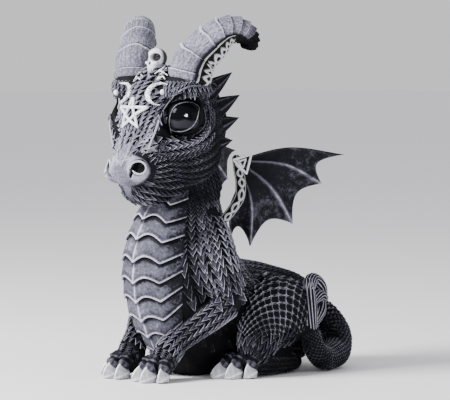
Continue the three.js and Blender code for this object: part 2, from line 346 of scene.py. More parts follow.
# Body forms: each stop is x, y, z, half width, half depth
bodyForms = {
    "back": [(0, 25, 14.6, 12.4, 12.4), (0, 13, 17, 13, 13), (0, 0, 20, 13, 13), (0, -8, 29, 12.5, 12.5),
             (0, -9.7, 39, 10.5, 10.8), (0, -10.4, 48, 8.8, 8.4), (0, -13.2, 57, 9.2, 8.8)],
    "breast": [(0, -9.5, 54, 8.8, 8.3), (0, -14.6, 44, 10.2, 9.8), (0, -17.8, 34, 11.6, 11.4),
               (0, -17.4, 25.5, 11.9, 11.8), (0, -14, 16.5, 11.2, 11.2), (0, -9, 8, 9, 9.5)],
    "seat": [(0, 24, 8.6, 10.6, 8.6), (0, 9, 8.6, 11.6, 8.6), (0, -5, 8.6, 10.4, 8.6)],
    "upperArm": [(6, -10.5, 43, 5, 6.5), (9.4, -11.4, 37.5, 5.8, 6.7), (12.1, -11.6, 32.5, 5.6, 6.3),
                 (14.4, -10.4, 26.5, 4.5, 4.8), (14.6, -9.8, 22.8, 4.1, 4.4)],
    "forearm": [(15.8, -9.8, 21, 3.8), (13.4, -13.6, 18, 3.9), (10.7, -17.9, 14.5, 3.6),
                (8.2, -21.8, 11, 3.3), (7.2, -25.4, 7.4, 3.2)],
    "paw": [(7.2, -25, 6.4, 3.6, 3.4), (7.4, -27.6, 3.8, 4.1, 3.2)],
    "thigh": [(14.6, 19, 17.5, 6, 7.4), (14.8, 10, 16.5, 7.9, 10.4), (16.2, 3, 12.8, 6.4, 7.6),
              (17.6, -1, 9, 4.6, 5)],
    "hindFoot": [(15, 15.5, 3, 3.2, 2.8), (16.4, 6.4, 3.3, 3.5, 3.2), (17, -3, 4.2, 4, 3.6)],
    "tail": [(3, 27, 13, 8.4), (8, 32, 12.5, 6.6), (12.4, 34.4, 9, 5), (15.4, 32.6, 5, 4.2),
             (18.4, 28, 3.9, 3.5), (20.4, 22.8, 3.6, 3.1), (21.2, 18.4, 6.6, 2.8), (21, 16.8, 12, 2.5)],
}
bodySkinLook = {"voxel": 0.62, "smoothing": 8, "wearAndLight": 0.04, "sink": 0.7}


def makeBodySkin():
    bm = bmesh.new()
    for name in ("back", "breast", "seat"):
        bendLimb(bm, bodyForms[name], sides=40, rings=40)
    bendLimb(bm, bodyForms["tail"], sides=28, rings=60, across=(0, 0, 1))
    for side in (1, -1):
        for name in ("upperArm", "forearm", "paw", "thigh", "hindFoot"):
            bendLimb(bm, bodyForms[name], sides=28, rings=30, side=side)
    skin = mergeShapes(bm, bodySkinLook["voxel"], bodySkinLook["smoothing"])
    keepAboveFloor(skin)
    return skin


headForms = {
    "skull": ((0, -15.5, 70), (15.3, 13, 14.3)),
    "face": ((0, -21, 70.5), (11.5, 10.3, 13)),
    "crown": ((0, -20.5, 80), (9, 5.6, 6)),
    "hornBoss": ((10.6, -20.6, 79.2), (6.2, 6.0, 6.2)),
    "bridge": [(0, -24, 70, 7, 6), (0, -28, 63.5, 6.6, 6), (0, -30.5, 59.5, 6.2, 5)],
    "muzzle": [(0, -20, 60, 9.8, 9), (0, -26, 58.8, 8.8, 7.6), (0, -30.6, 57.6, 7, 5.2)],
    "jaw": [(0, -18, 56, 9.2, 8), (0, -24.4, 54, 7.6, 6), (0, -28.8, 53, 5.2, 4.2)],
    "cheek": ((7.4, -17, 62.4), (7.8, 9, 8.4)),
    "temple": ((8.6, -19, 68), (6.8, 8.6, 8)),
    "noseMound": ((4.6, -32.3, 57.5), (3.8, 3.2, 3.6)),
    "brow": [(5.4, -30.4, 61.5, 1.3), (7, -29.6, 65.5, 1.6), (8.8, -28.8, 69.8, 1.7), (11, -27.6, 74, 1.8),
             (13.6, -24.8, 77.8, 1.8), (15.2, -20, 79.8, 1.6), (14, -15, 80.4, 1.4)],
}
headSkinLook = {"voxel": 0.42, "smoothing": 9}
eyeLook = {
    "centre": (10.3, -21.3, 72.1), "radius": 5.5, "facing": (0.78, -0.62, 0.0), "across": (0.62, 0.78, 0),
    "rim": 3.95, "rimOut": 3.83, "rimGirth": 0.14, "rimBall": 5.66, "rimLeast": 2.5, "rimWear": 0.66,
    "floor": 1.6, "socket": 8.4, "tearAcross": -6.6, "tearDown": -6.8, "tearGirth": 0.8, "lid": 5.2,
    # The next two values place and size the painted reflection on each eye
    "paintedGlint": (0.02, 0.06, 0.1), "paintedGlintSize": 0.1, "lidBall": 5.74, "lidSink": 0.6, "lidOpening": 0.68,
    "rimPixels": [(171.2, 132.9), (170.1, 127.2), (169.4, 120.7), (170.9, 113.1), (174.7, 106.6),
                  (180.7, 103.1), (187.2, 102.1), (193.7, 103.4), (198.6, 107.2), (198.3, 114.2),
                  (196.4, 120.7), (192.1, 126.7), (186.1, 130.5), (179.6, 131.6), (173.1, 130.5),
                  (170.8, 128.6)],
}


def smoothStep(value, low, high):
    t = np.clip((np.asarray(value, float) - low) / (high - low), 0, 1)
    return t * t * (3 - 2 * t)


def muzzleShare(points, outer=1.03):
    # 1 on the smooth nose, 0 on the scaled face
    x, y, z = np.abs(points[:, 0]), points[:, 1], points[:, 2]
    nose = np.sqrt((x / 9.4) ** 2 + ((y + 34.5) / 6.4) ** 2 + ((z - 57.8) / 4.7) ** 2)
    wedge = np.maximum(x / np.maximum(3.6 * (1 - (z - 59) / 8.4), 0.2), (57 - z) / 2)
    wedge = np.maximum(wedge, (y + 26) / 2)
    lip = np.where((y < -26) & (z < 58) & (z > 48.6), x / np.maximum(0.9 + 0.3 * (z - 50), 0.3), 9.0)
    return 1 - smoothStep(np.minimum(np.minimum(nose, wedge), lip), 0.94, outer)


def socketGap(points, side=1):
    # Below 0 in the dark teardrop round the eye, which runs down towards the nose
    look = eyeLook
    flip = np.array((side, 1, 1))
    centre = (np.array(look["centre"]) + np.array(look["facing"]) * look["rimOut"]) * flip
    across = np.array(look["across"]) * flip
    tear = across * look["tearAcross"] + np.array((0, 0, look["tearDown"]))
    away = np.nan_to_num(points, nan=99) - centre
    share = np.clip(away @ tear / (tear @ tear), 0, 1)
    gap = np.linalg.norm(away - share[..., None] * tear, axis=-1)
    return gap - look["lid"] * (1 - share) - look["tearGirth"] * share


def makeHeadSkin():
    bm = bmesh.new()
    addBall(bm, *headForms["skull"])
    addBall(bm, *headForms["face"])
    addBall(bm, *headForms["crown"])
    for name in ("bridge", "muzzle", "jaw"):
        bendLimb(bm, headForms[name], sides=36, rings=30)
    for side in (1, -1):
        for name in ("cheek", "temple", "noseMound", "hornBoss"):
            addBall(bm, *headForms[name], side=side)
        bendLimb(bm, headForms["brow"], sides=16, rings=40, side=side)
    skin = mergeShapes(bm, headSkinLook["voxel"], headSkinLook["smoothing"])
    wearAndLightLayer = skin.verts.layers.float.new("wearAndLight")
    skin.verts.layers.float.new("silver")
    points = np.array([v.co for v in skin.verts])
    smoothNose = muzzleShare(points)
    wearAndLight = 0.02 + 0.22 * muzzleShare(points, 1.7)
    wearAndLight += 0.4 * smoothNose * (0.55 + 0.45 * smoothStep(points[:, 2], 49, 55))
    eye = np.array(eyeLook["centre"])
    for side in (1, -1):
        # Eye socket: the skin sinks round the eyeball
        flip = np.array((side, 1, 1))
        facing = np.array(eyeLook["facing"]) * flip
        toEye = points - eye * flip
        out = np.sum(toEye * facing, axis=1)
        radial = np.linalg.norm(toEye - facing * out[:, None], axis=1)
        allowed = eyeLook["floor"] + 7.0 * smoothStep(radial, eyeLook["rim"] + 0.6, eyeLook["socket"] + 1.0)
        sunk = np.where((out > 0) & (radial < eyeLook["socket"]), np.maximum(out - allowed, 0), 0)
        points -= facing * sunk[:, None]
        wearAndLight = np.where(socketGap(points, side) < 0.6, 0.0, wearAndLight)
    for k, v in enumerate(skin.verts):
        v.co = points[k]
        v[wearAndLightLayer] = wearAndLight[k]
    return skin


# Scales: a flat shingle that ends in a V, with a raised rim, copied many times
scaleLook = {
    "vee": 0.55, "anchor": 0.36, "crown": 0.1, "tipLift": 0.3, "rootDrop": 0.35, "wallDrop": 0.5,
    "wallShare": 0.92, "rimLift": 0.12, "sideLift": 0.08, "rimWear": 1.0, "sideWear": 0.82,
    "fieldWear": 0.36, "rootWear": 0.03,
    "across": {-1.0: -1.0, -0.5: -0.76, 0.0: 0.0, 0.5: 0.76, 1.0: 1.0},
    "down": {-1.0: 0.0, -0.5: 0.4, 0.0: 0.66, 0.5: 0.86, 1.0: 1.0},
}


def closeTemplate(bm, wearAndLightLayer, drop, share, flatOnly):
    # Walls and a floor below, then the template as corners, wears and faces
    corners, edges = wallBorder(bm, [e for e in bm.edges if e.is_boundary])
    for v in corners:
        v.co.z -= drop
        v.co = (v.co.x * share, v.co.y, v.co.z) if flatOnly else v.co * share
        v[wearAndLightLayer] = 0.0
    bmesh.ops.contextual_create(bm, geom=edges)
    bmesh.ops.recalc_face_normals(bm, faces=bm.faces)
    bm.verts.index_update()
    template = {"corners": np.array([v.co for v in bm.verts]),
                "wears": np.array([v[wearAndLightLayer] for v in bm.verts]),
                "faces": [[v.index for v in f.verts] for f in bm.faces]}
    bm.free()
    return template


def makePlaitTemplate(look=scaleLook):
    # vee is how far the V cuts back at the sides
    bm = bmesh.new()
    bmesh.ops.create_grid(bm, x_segments=4, y_segments=4, size=1.0)
    wearAndLightLayer = bm.verts.layers.float.new("wearAndLight")
    vee = look["vee"]
    for v in bm.verts:
        across = look["across"][round(v.co.x * 2) / 2]
        down = look["down"][round(v.co.y * 2) / 2]
        rim, edge = down > 0.99, abs(across) > 0.99
        narrow = 1 - vee * 0.55 * max(0.0, (down - 0.4) / 0.6)
        v.co.x = across * narrow * (0.9 + 0.1 * min(1, down * 2))
        v.co.y = down * (1 - vee * abs(across))
        v.co.z = look["crown"] * (1 - across**2) + look["tipLift"] * down - look["rootDrop"] * (1 - down) ** 2
        v.co.z += look["rimLift"] * rim + look["sideLift"] * edge
        v[wearAndLightLayer] = look["rimWear"] if rim else look["sideWear"] if edge else look["fieldWear"]
        if down < 0.3:
            v[wearAndLightLayer] = look["rootWear"]
    return closeTemplate(bm, wearAndLightLayer, look["wallDrop"], look["wallShare"], True)


netLook = {
    "rim": 0.07, "slope": 0.16, "notch": 0.7, "high": 0.66, "low": 0.42, "floor": 0.1, "peak": 0.3,
    "crossing": 1.25, "line": 0.4, "field": 0.05, "peakWear": 0.13, "wallDrop": 0.8, "wallShare": 0.9,
    "halfLength": 0.5,
}


def makeNetTemplate(look=netLook):
    # A diamond with a thin raised edge; side by side they make a net with a bright dot at each crossing
    bm = bmesh.new()
    bmesh.ops.create_circle(bm, cap_ends=True, radius=1.0, segments=8)
    wearAndLightLayer = bm.verts.layers.float.new("wearAndLight")
    for v in bm.verts:
        crossing = min(abs(v.co.x), abs(v.co.y)) < 0.1
        v.co *= 1.0 if crossing else look["notch"]
        v[wearAndLightLayer] = look["crossing"] if crossing else look["line"]
        v.co.z = look["high"] if crossing else look["low"]
    cap = list(bm.faces)
    for width, height, wearAndLight in ((look["rim"], look["low"], look["line"]),
                                (look["slope"], look["floor"], look["field"])):
        bmesh.ops.inset_region(bm, faces=cap, thickness=width, use_boundary=True, use_even_offset=False)
        for v in {v for f in cap for v in f.verts}:
            v.co.z = height
            v[wearAndLightLayer] = wearAndLight
    for v in bmesh.ops.poke(bm, faces=cap)["verts"]:
        v.co.z = look["peak"]
        v[wearAndLightLayer] = look["peakWear"]
    net = closeTemplate(bm, wearAndLightLayer, look["wallDrop"], look["wallShare"], False)
    net["corners"][:, 1] = scaleLook["anchor"] + look["halfLength"] * net["corners"][:, 1]
    return net


plaitTemplate = makePlaitTemplate()
netTemplate = makeNetTemplate()


def scatterScales(name, beds, template):
    # Each bed holds points, along, side and normal directions, half widths, lengths, and tones with painted
    # light and shade
    corners, wears, faces = template["corners"], template["wears"], template["faces"]
    point, along, side, normal = (np.concatenate([bed[key] for bed in beds])
                                  for key in ("point", "along", "side", "normal"))
    width, length, lift, toneAndLight, litBoost = (np.concatenate([bed[key] for bed in beds])[:, None, None]
                                             for key in ("width", "length", "lift", "toneAndLight", "litBoost"))
    local = corners[None]
    placed = (point[:, None] + side[:, None] * local[..., 0:1] * width
              + along[:, None] * (local[..., 1:2] - scaleLook["anchor"]) * length
              + normal[:, None] * local[..., 2:3] * lift)
    # The template's wear times each scale's tone and painted light, plus extra painted light on all but the
    # roots and walls
    wearAndLightAll = (wears[None] * toneAndLight[..., 0] + litBoost[..., 0] * (wears[None] > 0.1)).ravel()
    placed = placed.reshape(-1, 3) * unit + np.array(origin)
    placed[:, 2] = np.maximum(placed[:, 2], lowest[2])
    count = len(corners)
    allFaces = [[i + k * count for i in face] for k in range(len(point)) for face in faces]
    mesh = bpy.data.meshes.new(name)
    mesh.from_pydata(placed.tolist(), [], allFaces)
    mesh.attributes.new("wearAndLight", "FLOAT", "POINT").data.foreach_set("value", wearAndLightAll)
    mesh.update()
    finishMesh(name, mesh, resin, smooth=False)


def grainAt(points, size, seed=0.0):
    return np.array([noise.noise(Vector(p) * size + Vector((seed, 0, 0))) for p in points])


# Each scale's tone: random patches and chances, painted light on faces that point up, and painted shade that
# deepens towards the back
bedLook = {"seed": 11, "least": 0.86, "most": 1.1, "base": 0.88, "patch": 0.36, "patchSize": 0.21,
           "paintedTopLight": 0.12, "backShadeRate": 0.016, "backFrom": 8, "backLeast": 0.6}


def bedFromGrid(hits, normals, keep, wide, long, thick=0.62, stagger=True, flow=1, paintedLight=1.0, litBoost=0.0,
                largest=4.2, narrow=0.9, drop=1.8):
    # hits is a grid of rows by columns of points; keep marks the ones that get a scale
    look = bedLook
    ahead = np.roll(hits, -1, axis=0)
    ahead[-1] = 2 * hits[-1] - hits[-2]
    beside = np.roll(hits, -1, axis=1)
    before = np.roll(hits, 1, axis=1)
    spot = hits.copy()
    if stagger:
        spot[:, 1::2] = 0.5 * (hits[:, 1::2] + ahead[:, 1::2])
    along = (ahead - hits) * flow
    spacing = np.linalg.norm(along, axis=-1)
    across = 0.5 * (beside - before)
    gap = np.linalg.norm(across, axis=-1)
    normal = unitRows(normals)
    along = unitRows(along - normal * np.sum(along * normal, axis=-1, keepdims=True))
    side = np.cross(along, normal)
    ok = keep & np.isfinite(spot).all(axis=-1) & np.isfinite(gap)
    ok &= np.maximum(spacing, gap) < drop * largest
    ok[-1] = False
    if not stagger:
        merged = np.where(gap < 0.5 * narrow, 4, np.where(gap < narrow, 2, 1))
        ok &= np.arange(hits.shape[1]) % merged == 0
        gap = gap * merged
    spacing, gap = np.minimum(spacing, largest), np.minimum(gap, largest)
    point = spot[ok]
    count = len(point)
    # Tone: the region's painted light, random patches, painted light on faces that point up, a random share,
    # and painted shade towards the back
    toneAndLight = paintedLight * (look["base"] + look["patch"] * grainAt(point, look["patchSize"])
                       + look["paintedTopLight"] * np.clip(normal[ok][:, 2], -1, 1))
    chance = np.random.default_rng(look["seed"]).uniform(look["least"], look["most"], count)
    backShade = 1.0 - look["backShadeRate"] * (point[:, 1] + look["backFrom"])
    toneAndLight *= chance * np.clip(backShade, look["backLeast"], 1)
    return {"point": point, "along": along[ok], "side": side[ok], "normal": normal[ok],
            "width": 0.5 * wide * gap[ok], "length": long * spacing[ok],
            "lift": thick * np.minimum(gap[ok], 1.3 * spacing[ok]), "toneAndLight": np.clip(toneAndLight, 0.15, 1.4),
            "litBoost": np.full(count, litBoost)}


def castGrid(tree, centres, directions, reach):
    # First way out of the skin from inside
    hits = np.full(directions.shape, np.nan)
    normals = np.zeros(directions.shape)
    for index in np.ndindex(directions.shape[:-1]):
        place, normal, _, distance = tree.ray_cast(Vector(centres[index]), Vector(directions[index]))
        if place is None or distance > reach[index]:
            continue
        hits[index] = place
        normals[index] = 0.55 * np.array(normal) + 0.45 * directions[index]
    return hits, normals


def limbGrid(tree, stops, rows, columns, start=0.0, end=1.0, across=(1, 0, 0), slack=1.35, capRows=0,
             capTurn=1.2):
    # Rows of points down a limb, and over its far end
    share = np.concatenate([np.linspace(start, end, rows), np.full(capRows, end)])
    tilt = np.concatenate([np.zeros(rows), np.linspace(0, capTurn, capRows + 1)[1:]])[:, None, None]
    centre, along, wide, deep, girth, depth = framesAt(full(stops), share, across)
    angle = 2 * math.pi * np.arange(columns) / columns
    cosine, sine = np.cos(angle)[None, :, None], np.sin(angle)[None, :, None]
    directions = unitRows(wide[:, None] * girth[:, None, None] * cosine
                          + deep[:, None] * depth[:, None, None] * sine)
    directions = directions * np.cos(tilt) + along[:, None] * np.sin(tilt)
    centres = np.broadcast_to(centre[:, None], directions.shape)
    reach = slack * np.maximum(girth, depth)[:, None] * np.ones((1, columns))
    return castGrid(tree, centres, directions, reach)


def closeness(points, stops, side=1):
    # Below 1 inside that limb
    value, _ = splineAt(full(stops), np.linspace(0, 1, 30))
    centre = value[:, :3] * (side, 1, 1)
    girth = 0.5 * (value[:, 3] + value[:, 4])
    gap = np.linalg.norm(points[..., None, :] - centre, axis=-1) / girth
    return np.nan_to_num(gap.min(axis=-1), nan=9.0)


def plateEdge(points, slack=1.0):
    # True outside the strip of belly plates on the breast
    samples = 40
    value, _ = splineAt(bodyForms["breast"], np.linspace(0, 1, samples))
    centre = value[:, :3]
    flat = points[..., None, :] - centre
    flat[..., 0] = 0
    nearest = np.nan_to_num(np.linalg.norm(flat, axis=-1), nan=1e3).argmin(axis=-1)
    share = nearest / (samples - 1)
    wide, deep = value[nearest, 3], value[nearest, 4]
    angle = np.arctan2(np.abs(points[..., 0]) / wide, -(points[..., 1] - centre[nearest, 1]) / deep)
    return angle > plateSpread(share) * slack


def plateSpread(share):
    return np.radians(42 + 25 * np.sin(np.clip(np.asarray(share) * 1.15, 0, 1) * math.pi) ** 0.8)


def mirrorBed(bed):
    flipped = {key: value.copy() for key, value in bed.items()}
    for key in ("point", "along", "normal"):
        flipped[key][:, 0] *= -1
    flipped["side"] = np.cross(flipped["along"], flipped["normal"])
    return flipped


bodySkin = makeBodySkin()
bodyTree = BVHTree.FromBMesh(bodySkin)
print("body skin", len(bodySkin.faces), "faces")
headSkin = makeHeadSkin()
headTree = BVHTree.FromBMesh(headSkin)
print("head skin", len(headSkin.faces), "faces")

# Rows and columns of scales
coatLook = {"trunk": (38, 36), "tail": (38, 24), "head": (33, 40), "boss": (8, 26)}
limbCoat = {"upperArm": {"rows": 12, "columns": 16, "start": 0.06, "end": 0.94},
            "forearm": {"rows": 13, "columns": 12},
            "paw": {"rows": 5, "columns": 12, "end": 0.7},
            "thigh": {"rows": 10, "columns": 38, "capRows": 3},
            "hindFoot": {"rows": 12, "columns": 14, "start": 0.1, "end": 0.95},
            "knee": {"rows": 6, "columns": 15, "start": 0.5, "capRows": 3}}
# How brightly each limb's scales are painted: painted light and shade
limbPaintedLight = {"thigh": 1.5, "hindFoot": 0.7, "paw": 0.9, "upperArm": 1.15, "forearm": 1.2, "knee": 0.9}
kneeTop = 12.5
netTile = {"wide": 2.0, "long": 1.0}


def coatTrunk():
    hits, normals = limbGrid(bodyTree, bodyForms["back"][::-1], *coatLook["trunk"], slack=1.75, capRows=7)
    keep = plateEdge(hits, 0.96) & (np.nan_to_num(hits[..., 2], nan=-1) > 1.0)
    for side in (1, -1):
        for name in ("upperArm", "thigh", "forearm"):
            keep &= closeness(hits, bodyForms[name], side) > (1.16 if name == "thigh" else 0.95)
    keep &= closeness(hits, bodyForms["tail"]) > 1.0
    trunk = bedFromGrid(hits, normals, keep, 0.97, 1.5, stagger=False, paintedLight=1.1, largest=3.1, narrow=0.5)
    # Painted shade under the head; under the forearms, small flat scales in painted shade
    place = trunk["point"]
    trunk["toneAndLight"] *= 1 - 0.5 * smoothStep(place[:, 2], 45, 52)
    low = (place[:, 2] < 21) & (place[:, 1] < 4)
    for key, share in (("toneAndLight", 0.5), ("lift", 0.35), ("length", 0.6)):
        trunk[key][low] *= share
    scatterScales("trunkScales", [trunk], plaitTemplate)


def coatLimbs():
    limbs, haunches = [], []
    for name, span in limbCoat.items():
        form = "thigh" if name == "knee" else name
        hits, normals = limbGrid(bodyTree, bodyForms[form], slack=1.6, **span)
        height = np.nan_to_num(hits[..., 2], nan=-1)
        keep = height > 0.8
        if name in ("upperArm", "forearm"):
            keep &= plateEdge(hits) | (height < 22)
        if name == "forearm":
            keep &= closeness(hits, bodyForms["upperArm"]) > 0.9
        if name == "hindFoot":
            keep &= closeness(hits, bodyForms["thigh"]) > 0.95
        if form == "thigh":
            keep &= closeness(hits, bodyForms["tail"][4:]) > 1.05
            keep &= (height < kneeTop) if name == "knee" else (height >= kneeTop)
        if name == "thigh":
            bed = bedFromGrid(hits, normals, keep, **netTile, thick=0.6, paintedLight=limbPaintedLight[name])
            haunches += [bed, mirrorBed(bed)]
        else:
            leafy = name == "knee"
            bed = bedFromGrid(hits, normals, keep, wide=1.25 if leafy else 0.97, long=2.0 if leafy else 1.5,
                              stagger=False, paintedLight=limbPaintedLight[name], litBoost=0.05, largest=2.5)
            limbs += [bed, mirrorBed(bed)]
    scatterScales("limbScales", limbs, plaitTemplate)
    scatterScales("haunchNet", haunches, netTemplate)


def coatTail():
    hits, normals = limbGrid(bodyTree, bodyForms["tail"], *coatLook["tail"], start=0.04, across=(0, 0, 1))
    keep = np.nan_to_num(hits[..., 2], nan=-1) > 0.6
    scatterScales("tailNet", [bedFromGrid(hits, normals, keep, **netTile, paintedLight=1.3)], netTemplate)


headCoat = {"centre": (0, -16, 66), "nose": (0, -0.93, -0.37), "first": 13, "last": 175, "eyeHole": 5.5,
            "eyeReach": 11.0, "browHalf": 9.0, "bossReach": 6.6}


def onHead(column, row, lift):
    # The place on the head's skin that the photo shows at a pixel
    start, run = pixelRay(column, row)
    place, normal, _, _ = headTree.ray_cast(start, run)
    if place is None:
        place, normal, _, _ = headTree.find_nearest(start + run * (view["distance"] - 22))
    return place + normal * lift


# Rows of scales laid along listed pixels: over the eyeball, behind it and under it
# Each row's last value is its tone, which holds painted light and shade
plaitRows = {
    "overEye": {"pixels": [(164, 120), (168.4, 110), (176, 100.4), (186, 95.2), (196, 93.4)],
                "count": 10, "width": 0.85, "toneAndLight": 1.25},
    "overBrow": {"pixels": [(171, 96), (179, 88.6), (189, 82.8), (199, 80.4)],
                 "count": 8, "width": 0.8, "toneAndLight": 1.1},
    "behindEye": {"pixels": [(199, 95), (206, 102), (210.6, 112), (210.6, 122), (206, 131)],
                  "count": 9, "width": 0.8, "toneAndLight": 0.8},
    "underEye": {"pixels": [(158, 147), (168, 140.4), (180, 137.6), (191, 135.6), (200, 130)],
                 "count": 11, "width": 0.85, "toneAndLight": 1.15},
    "underSecond": {"pixels": [(153, 154.6), (162, 149), (176, 145.4), (190, 142.6), (202, 136.4),
                               (208.6, 127)],
                    "count": 14, "width": 1.05, "toneAndLight": 1.2},
    "underThird": {"pixels": [(154, 161), (166, 155.4), (180, 152.6), (194, 149.6), (206, 143), (213, 132)],
                   "count": 15, "width": 1.05, "toneAndLight": 0.95},
}
rowLook = {"long": 1.6, "lift": 0.75, "raise": 0.4}


def alongPixels(pixels, count):
    # Evenly spread pixels on the curve through the given ones
    value, _ = splineAt([list(spot) + [0, 0, 0] for spot in pixels], np.linspace(0, 1, count))
    return value[:, :2]


def pixelRow(row):
    value = alongPixels(row["pixels"], row["count"] + 1)
    places = [headTree.find_nearest(onHead(spot[0], spot[1], 0)) for spot in value]
    point = np.array([place for place, _, _, _ in places])
    normal = np.array([way for _, way, _, _ in places])[:-1]
    along = np.diff(point, axis=0)
    spacing = np.linalg.norm(along, axis=1)
    along = unitRows(along - normal * np.sum(along * normal, axis=1, keepdims=True))
    count = len(along)
    return {"point": point[:-1] + normal * rowLook["raise"], "along": along, "side": np.cross(along, normal),
            "normal": normal, "width": np.full(count, row["width"]), "length": rowLook["long"] * spacing,
            "lift": np.full(count, rowLook["lift"]), "toneAndLight": np.full(count, row["toneAndLight"]),
            "litBoost": np.zeros(count)}


def bossBed():
    # Small scales that run down round the root of a horn
    rows, columns = coatLook["boss"]
    core = np.array(headForms["hornBoss"][0])
    polar = np.radians(np.linspace(40, 130, rows))[:, None, None]
    angle = (2 * math.pi * (np.arange(columns) + 0.5) / columns)[None, :, None]
    directions = np.array([0, 0, 1]) * np.cos(polar) + np.sin(polar) * (
        np.array([1, 0, 0]) * np.cos(angle) + np.array([0, 1, 0]) * np.sin(angle))
    hits, normals = castGrid(headTree, np.broadcast_to(core, directions.shape), directions,
                             np.full(directions.shape[:-1], headCoat["bossReach"] + 1))
    keep = (closeness(hits, hornPath) > 0.95) & (socketGap(hits) > 0) & (np.nan_to_num(hits[..., 2]) > 79)
    bed = bedFromGrid(hits, normals, keep, 0.95, 1.6, stagger=False, paintedLight=1.1, litBoost=0.1, largest=2.2)
    # Painted shade that deepens towards the back
    bed["toneAndLight"] *= np.clip(1.1 - 0.05 * (bed["point"][:, 1] + 24), 0.4, 1.1)
    return bed


def coatHead():
    rows, columns = coatLook["head"]
    look = headCoat
    core = np.array(look["centre"], float)
    pole = unitRows(np.array(look["nose"], float))
    sideways = np.array([1.0, 0, 0])
    upward = np.cross(sideways, pole)
    polar = np.radians(np.linspace(look["first"], look["last"], rows))[:, None, None]
    angle = (2 * math.pi * (np.arange(columns) + 0.5) / columns)[None, :, None]
    directions = pole * np.cos(polar) + (sideways * np.cos(angle) + upward * np.sin(angle)) * np.sin(polar)
    centres = np.broadcast_to(core, directions.shape)
    reach = np.full(directions.shape[:-1], 40.0)
    hits, _ = castGrid(headTree, centres, directions, reach)
    # Rows part round each eye
    for side in (1, -1):
        eye = (np.array(eyeLook["centre"]) + np.array(eyeLook["facing"]) * 3.4) * (side, 1, 1)
        away = hits - eye
        gap = np.linalg.norm(away, axis=-1, keepdims=True)
        push = np.sqrt(gap**2 + look["eyeHole"] ** 2) - gap
        pushed = gap + push * np.exp(-((gap / look["eyeReach"]) ** 2))
        hits = eye + away / np.maximum(gap, 1e-6) * pushed
    directions = unitRows(hits - core)
    hits, normals = castGrid(headTree, centres, directions, reach)
    flatHits = np.nan_to_num(hits.reshape(-1, 3), nan=-99)
    keep = (muzzleShare(flatHits) < 0.7).reshape(hits.shape[:-1])
    for side in (1, -1):
        keep &= socketGap(hits, side) > 0
        keep &= closeness(hits, hornPath, side) > 0.9
        boss = np.array(headForms["hornBoss"][0]) * (side, 1, 1)
        keep &= ~((np.nan_to_num(np.linalg.norm(hits - boss, axis=-1)) < look["bossReach"])
                  & (np.nan_to_num(hits[..., 2]) > 80))
    keep &= ~((np.nan_to_num(hits[..., 2]) < 53) & (np.nan_to_num(hits[..., 1]) > -19))
    # On the forehead the points of the scales look down at the nose
    brow = (np.nan_to_num(hits[..., 2]) > 62) & (np.nan_to_num(np.abs(hits[..., 0])) < look["browHalf"])
    brow &= np.nan_to_num(hits[..., 1]) < -20
    face = bedFromGrid(hits, normals, keep & ~brow, 0.93, 1.55, stagger=False, largest=2.6, drop=2.6)
    forehead = bedFromGrid(hits, normals, keep & brow, 0.95, 1.5, flow=-1, stagger=False, paintedLight=1.2,
                           litBoost=0.2, largest=2.8, narrow=1.25, drop=2.6)
    boss = bossBed()
    # Painted shade that deepens towards the back of the head, and painted light that keeps the forehead
    # bright
    for bed in (face, forehead):
        bed["toneAndLight"] *= np.clip(1.2 - 0.036 * (bed["point"][:, 1] + 31), 0.4, 1.2)
    forehead["toneAndLight"] = np.maximum(forehead["toneAndLight"], 0.95)
    rows = [pixelRow(row) for row in plaitRows.values()]
    beds = [face, forehead, boss, mirrorBed(boss)] + rows + [mirrorBed(row) for row in rows]
    scatterScales("headScales", beds, plaitTemplate)


# Horns: stepped rings, brushed light in front, with a black knotwork band along the back
hornPath = [(10.5, -20.7, 83, 5.2), (11.1, -19.9, 86.5, 5.0), (12, -18.3, 89.6, 4.7),
            (14.6, -15.5, 93.2, 4.4), (17.2, -12.9, 95.5, 4.1), (19.4, -10.4, 96, 3.7),
            (20.9, -8.1, 94.9, 3.2), (21.2, -6.7, 93, 2.6), (20.3, -6.6, 91.4, 2.1)]
hornLook = {"lips": [0, 0.055, 0.235, 0.39, 0.5, 0.585, 0.66, 0.73, 0.79, 0.84, 0.885, 0.93, 0.97, 1.0],
            "lip": 0.62, "stria": 0.05, "bandMiddle": 0.95, "bandHalf": 0.52, "knotPitch": 0.15,
            "bandEnd": 0.6, "bandSwell": 2.3, "across": (0.78, -0.62, 0)}


def knotwork(across, along):
    # Two strands that cross, between two edge lines; 1 on a strand
    strand = 0.52 * np.sin(2 * math.pi * along)
    first = np.abs(across - strand)
    second = np.abs(across + strand)
    loop = np.abs(np.hypot(across, 0.9 * ((along * 2) % 1 - 0.5)) - 0.3)
    edge = np.abs(np.abs(across) - 0.9)
    nearest = np.minimum(np.minimum(first, second), np.minimum(edge * 2.2, loop * 1.7))
    return 1 - smoothStep(nearest, 0.06, 0.14)


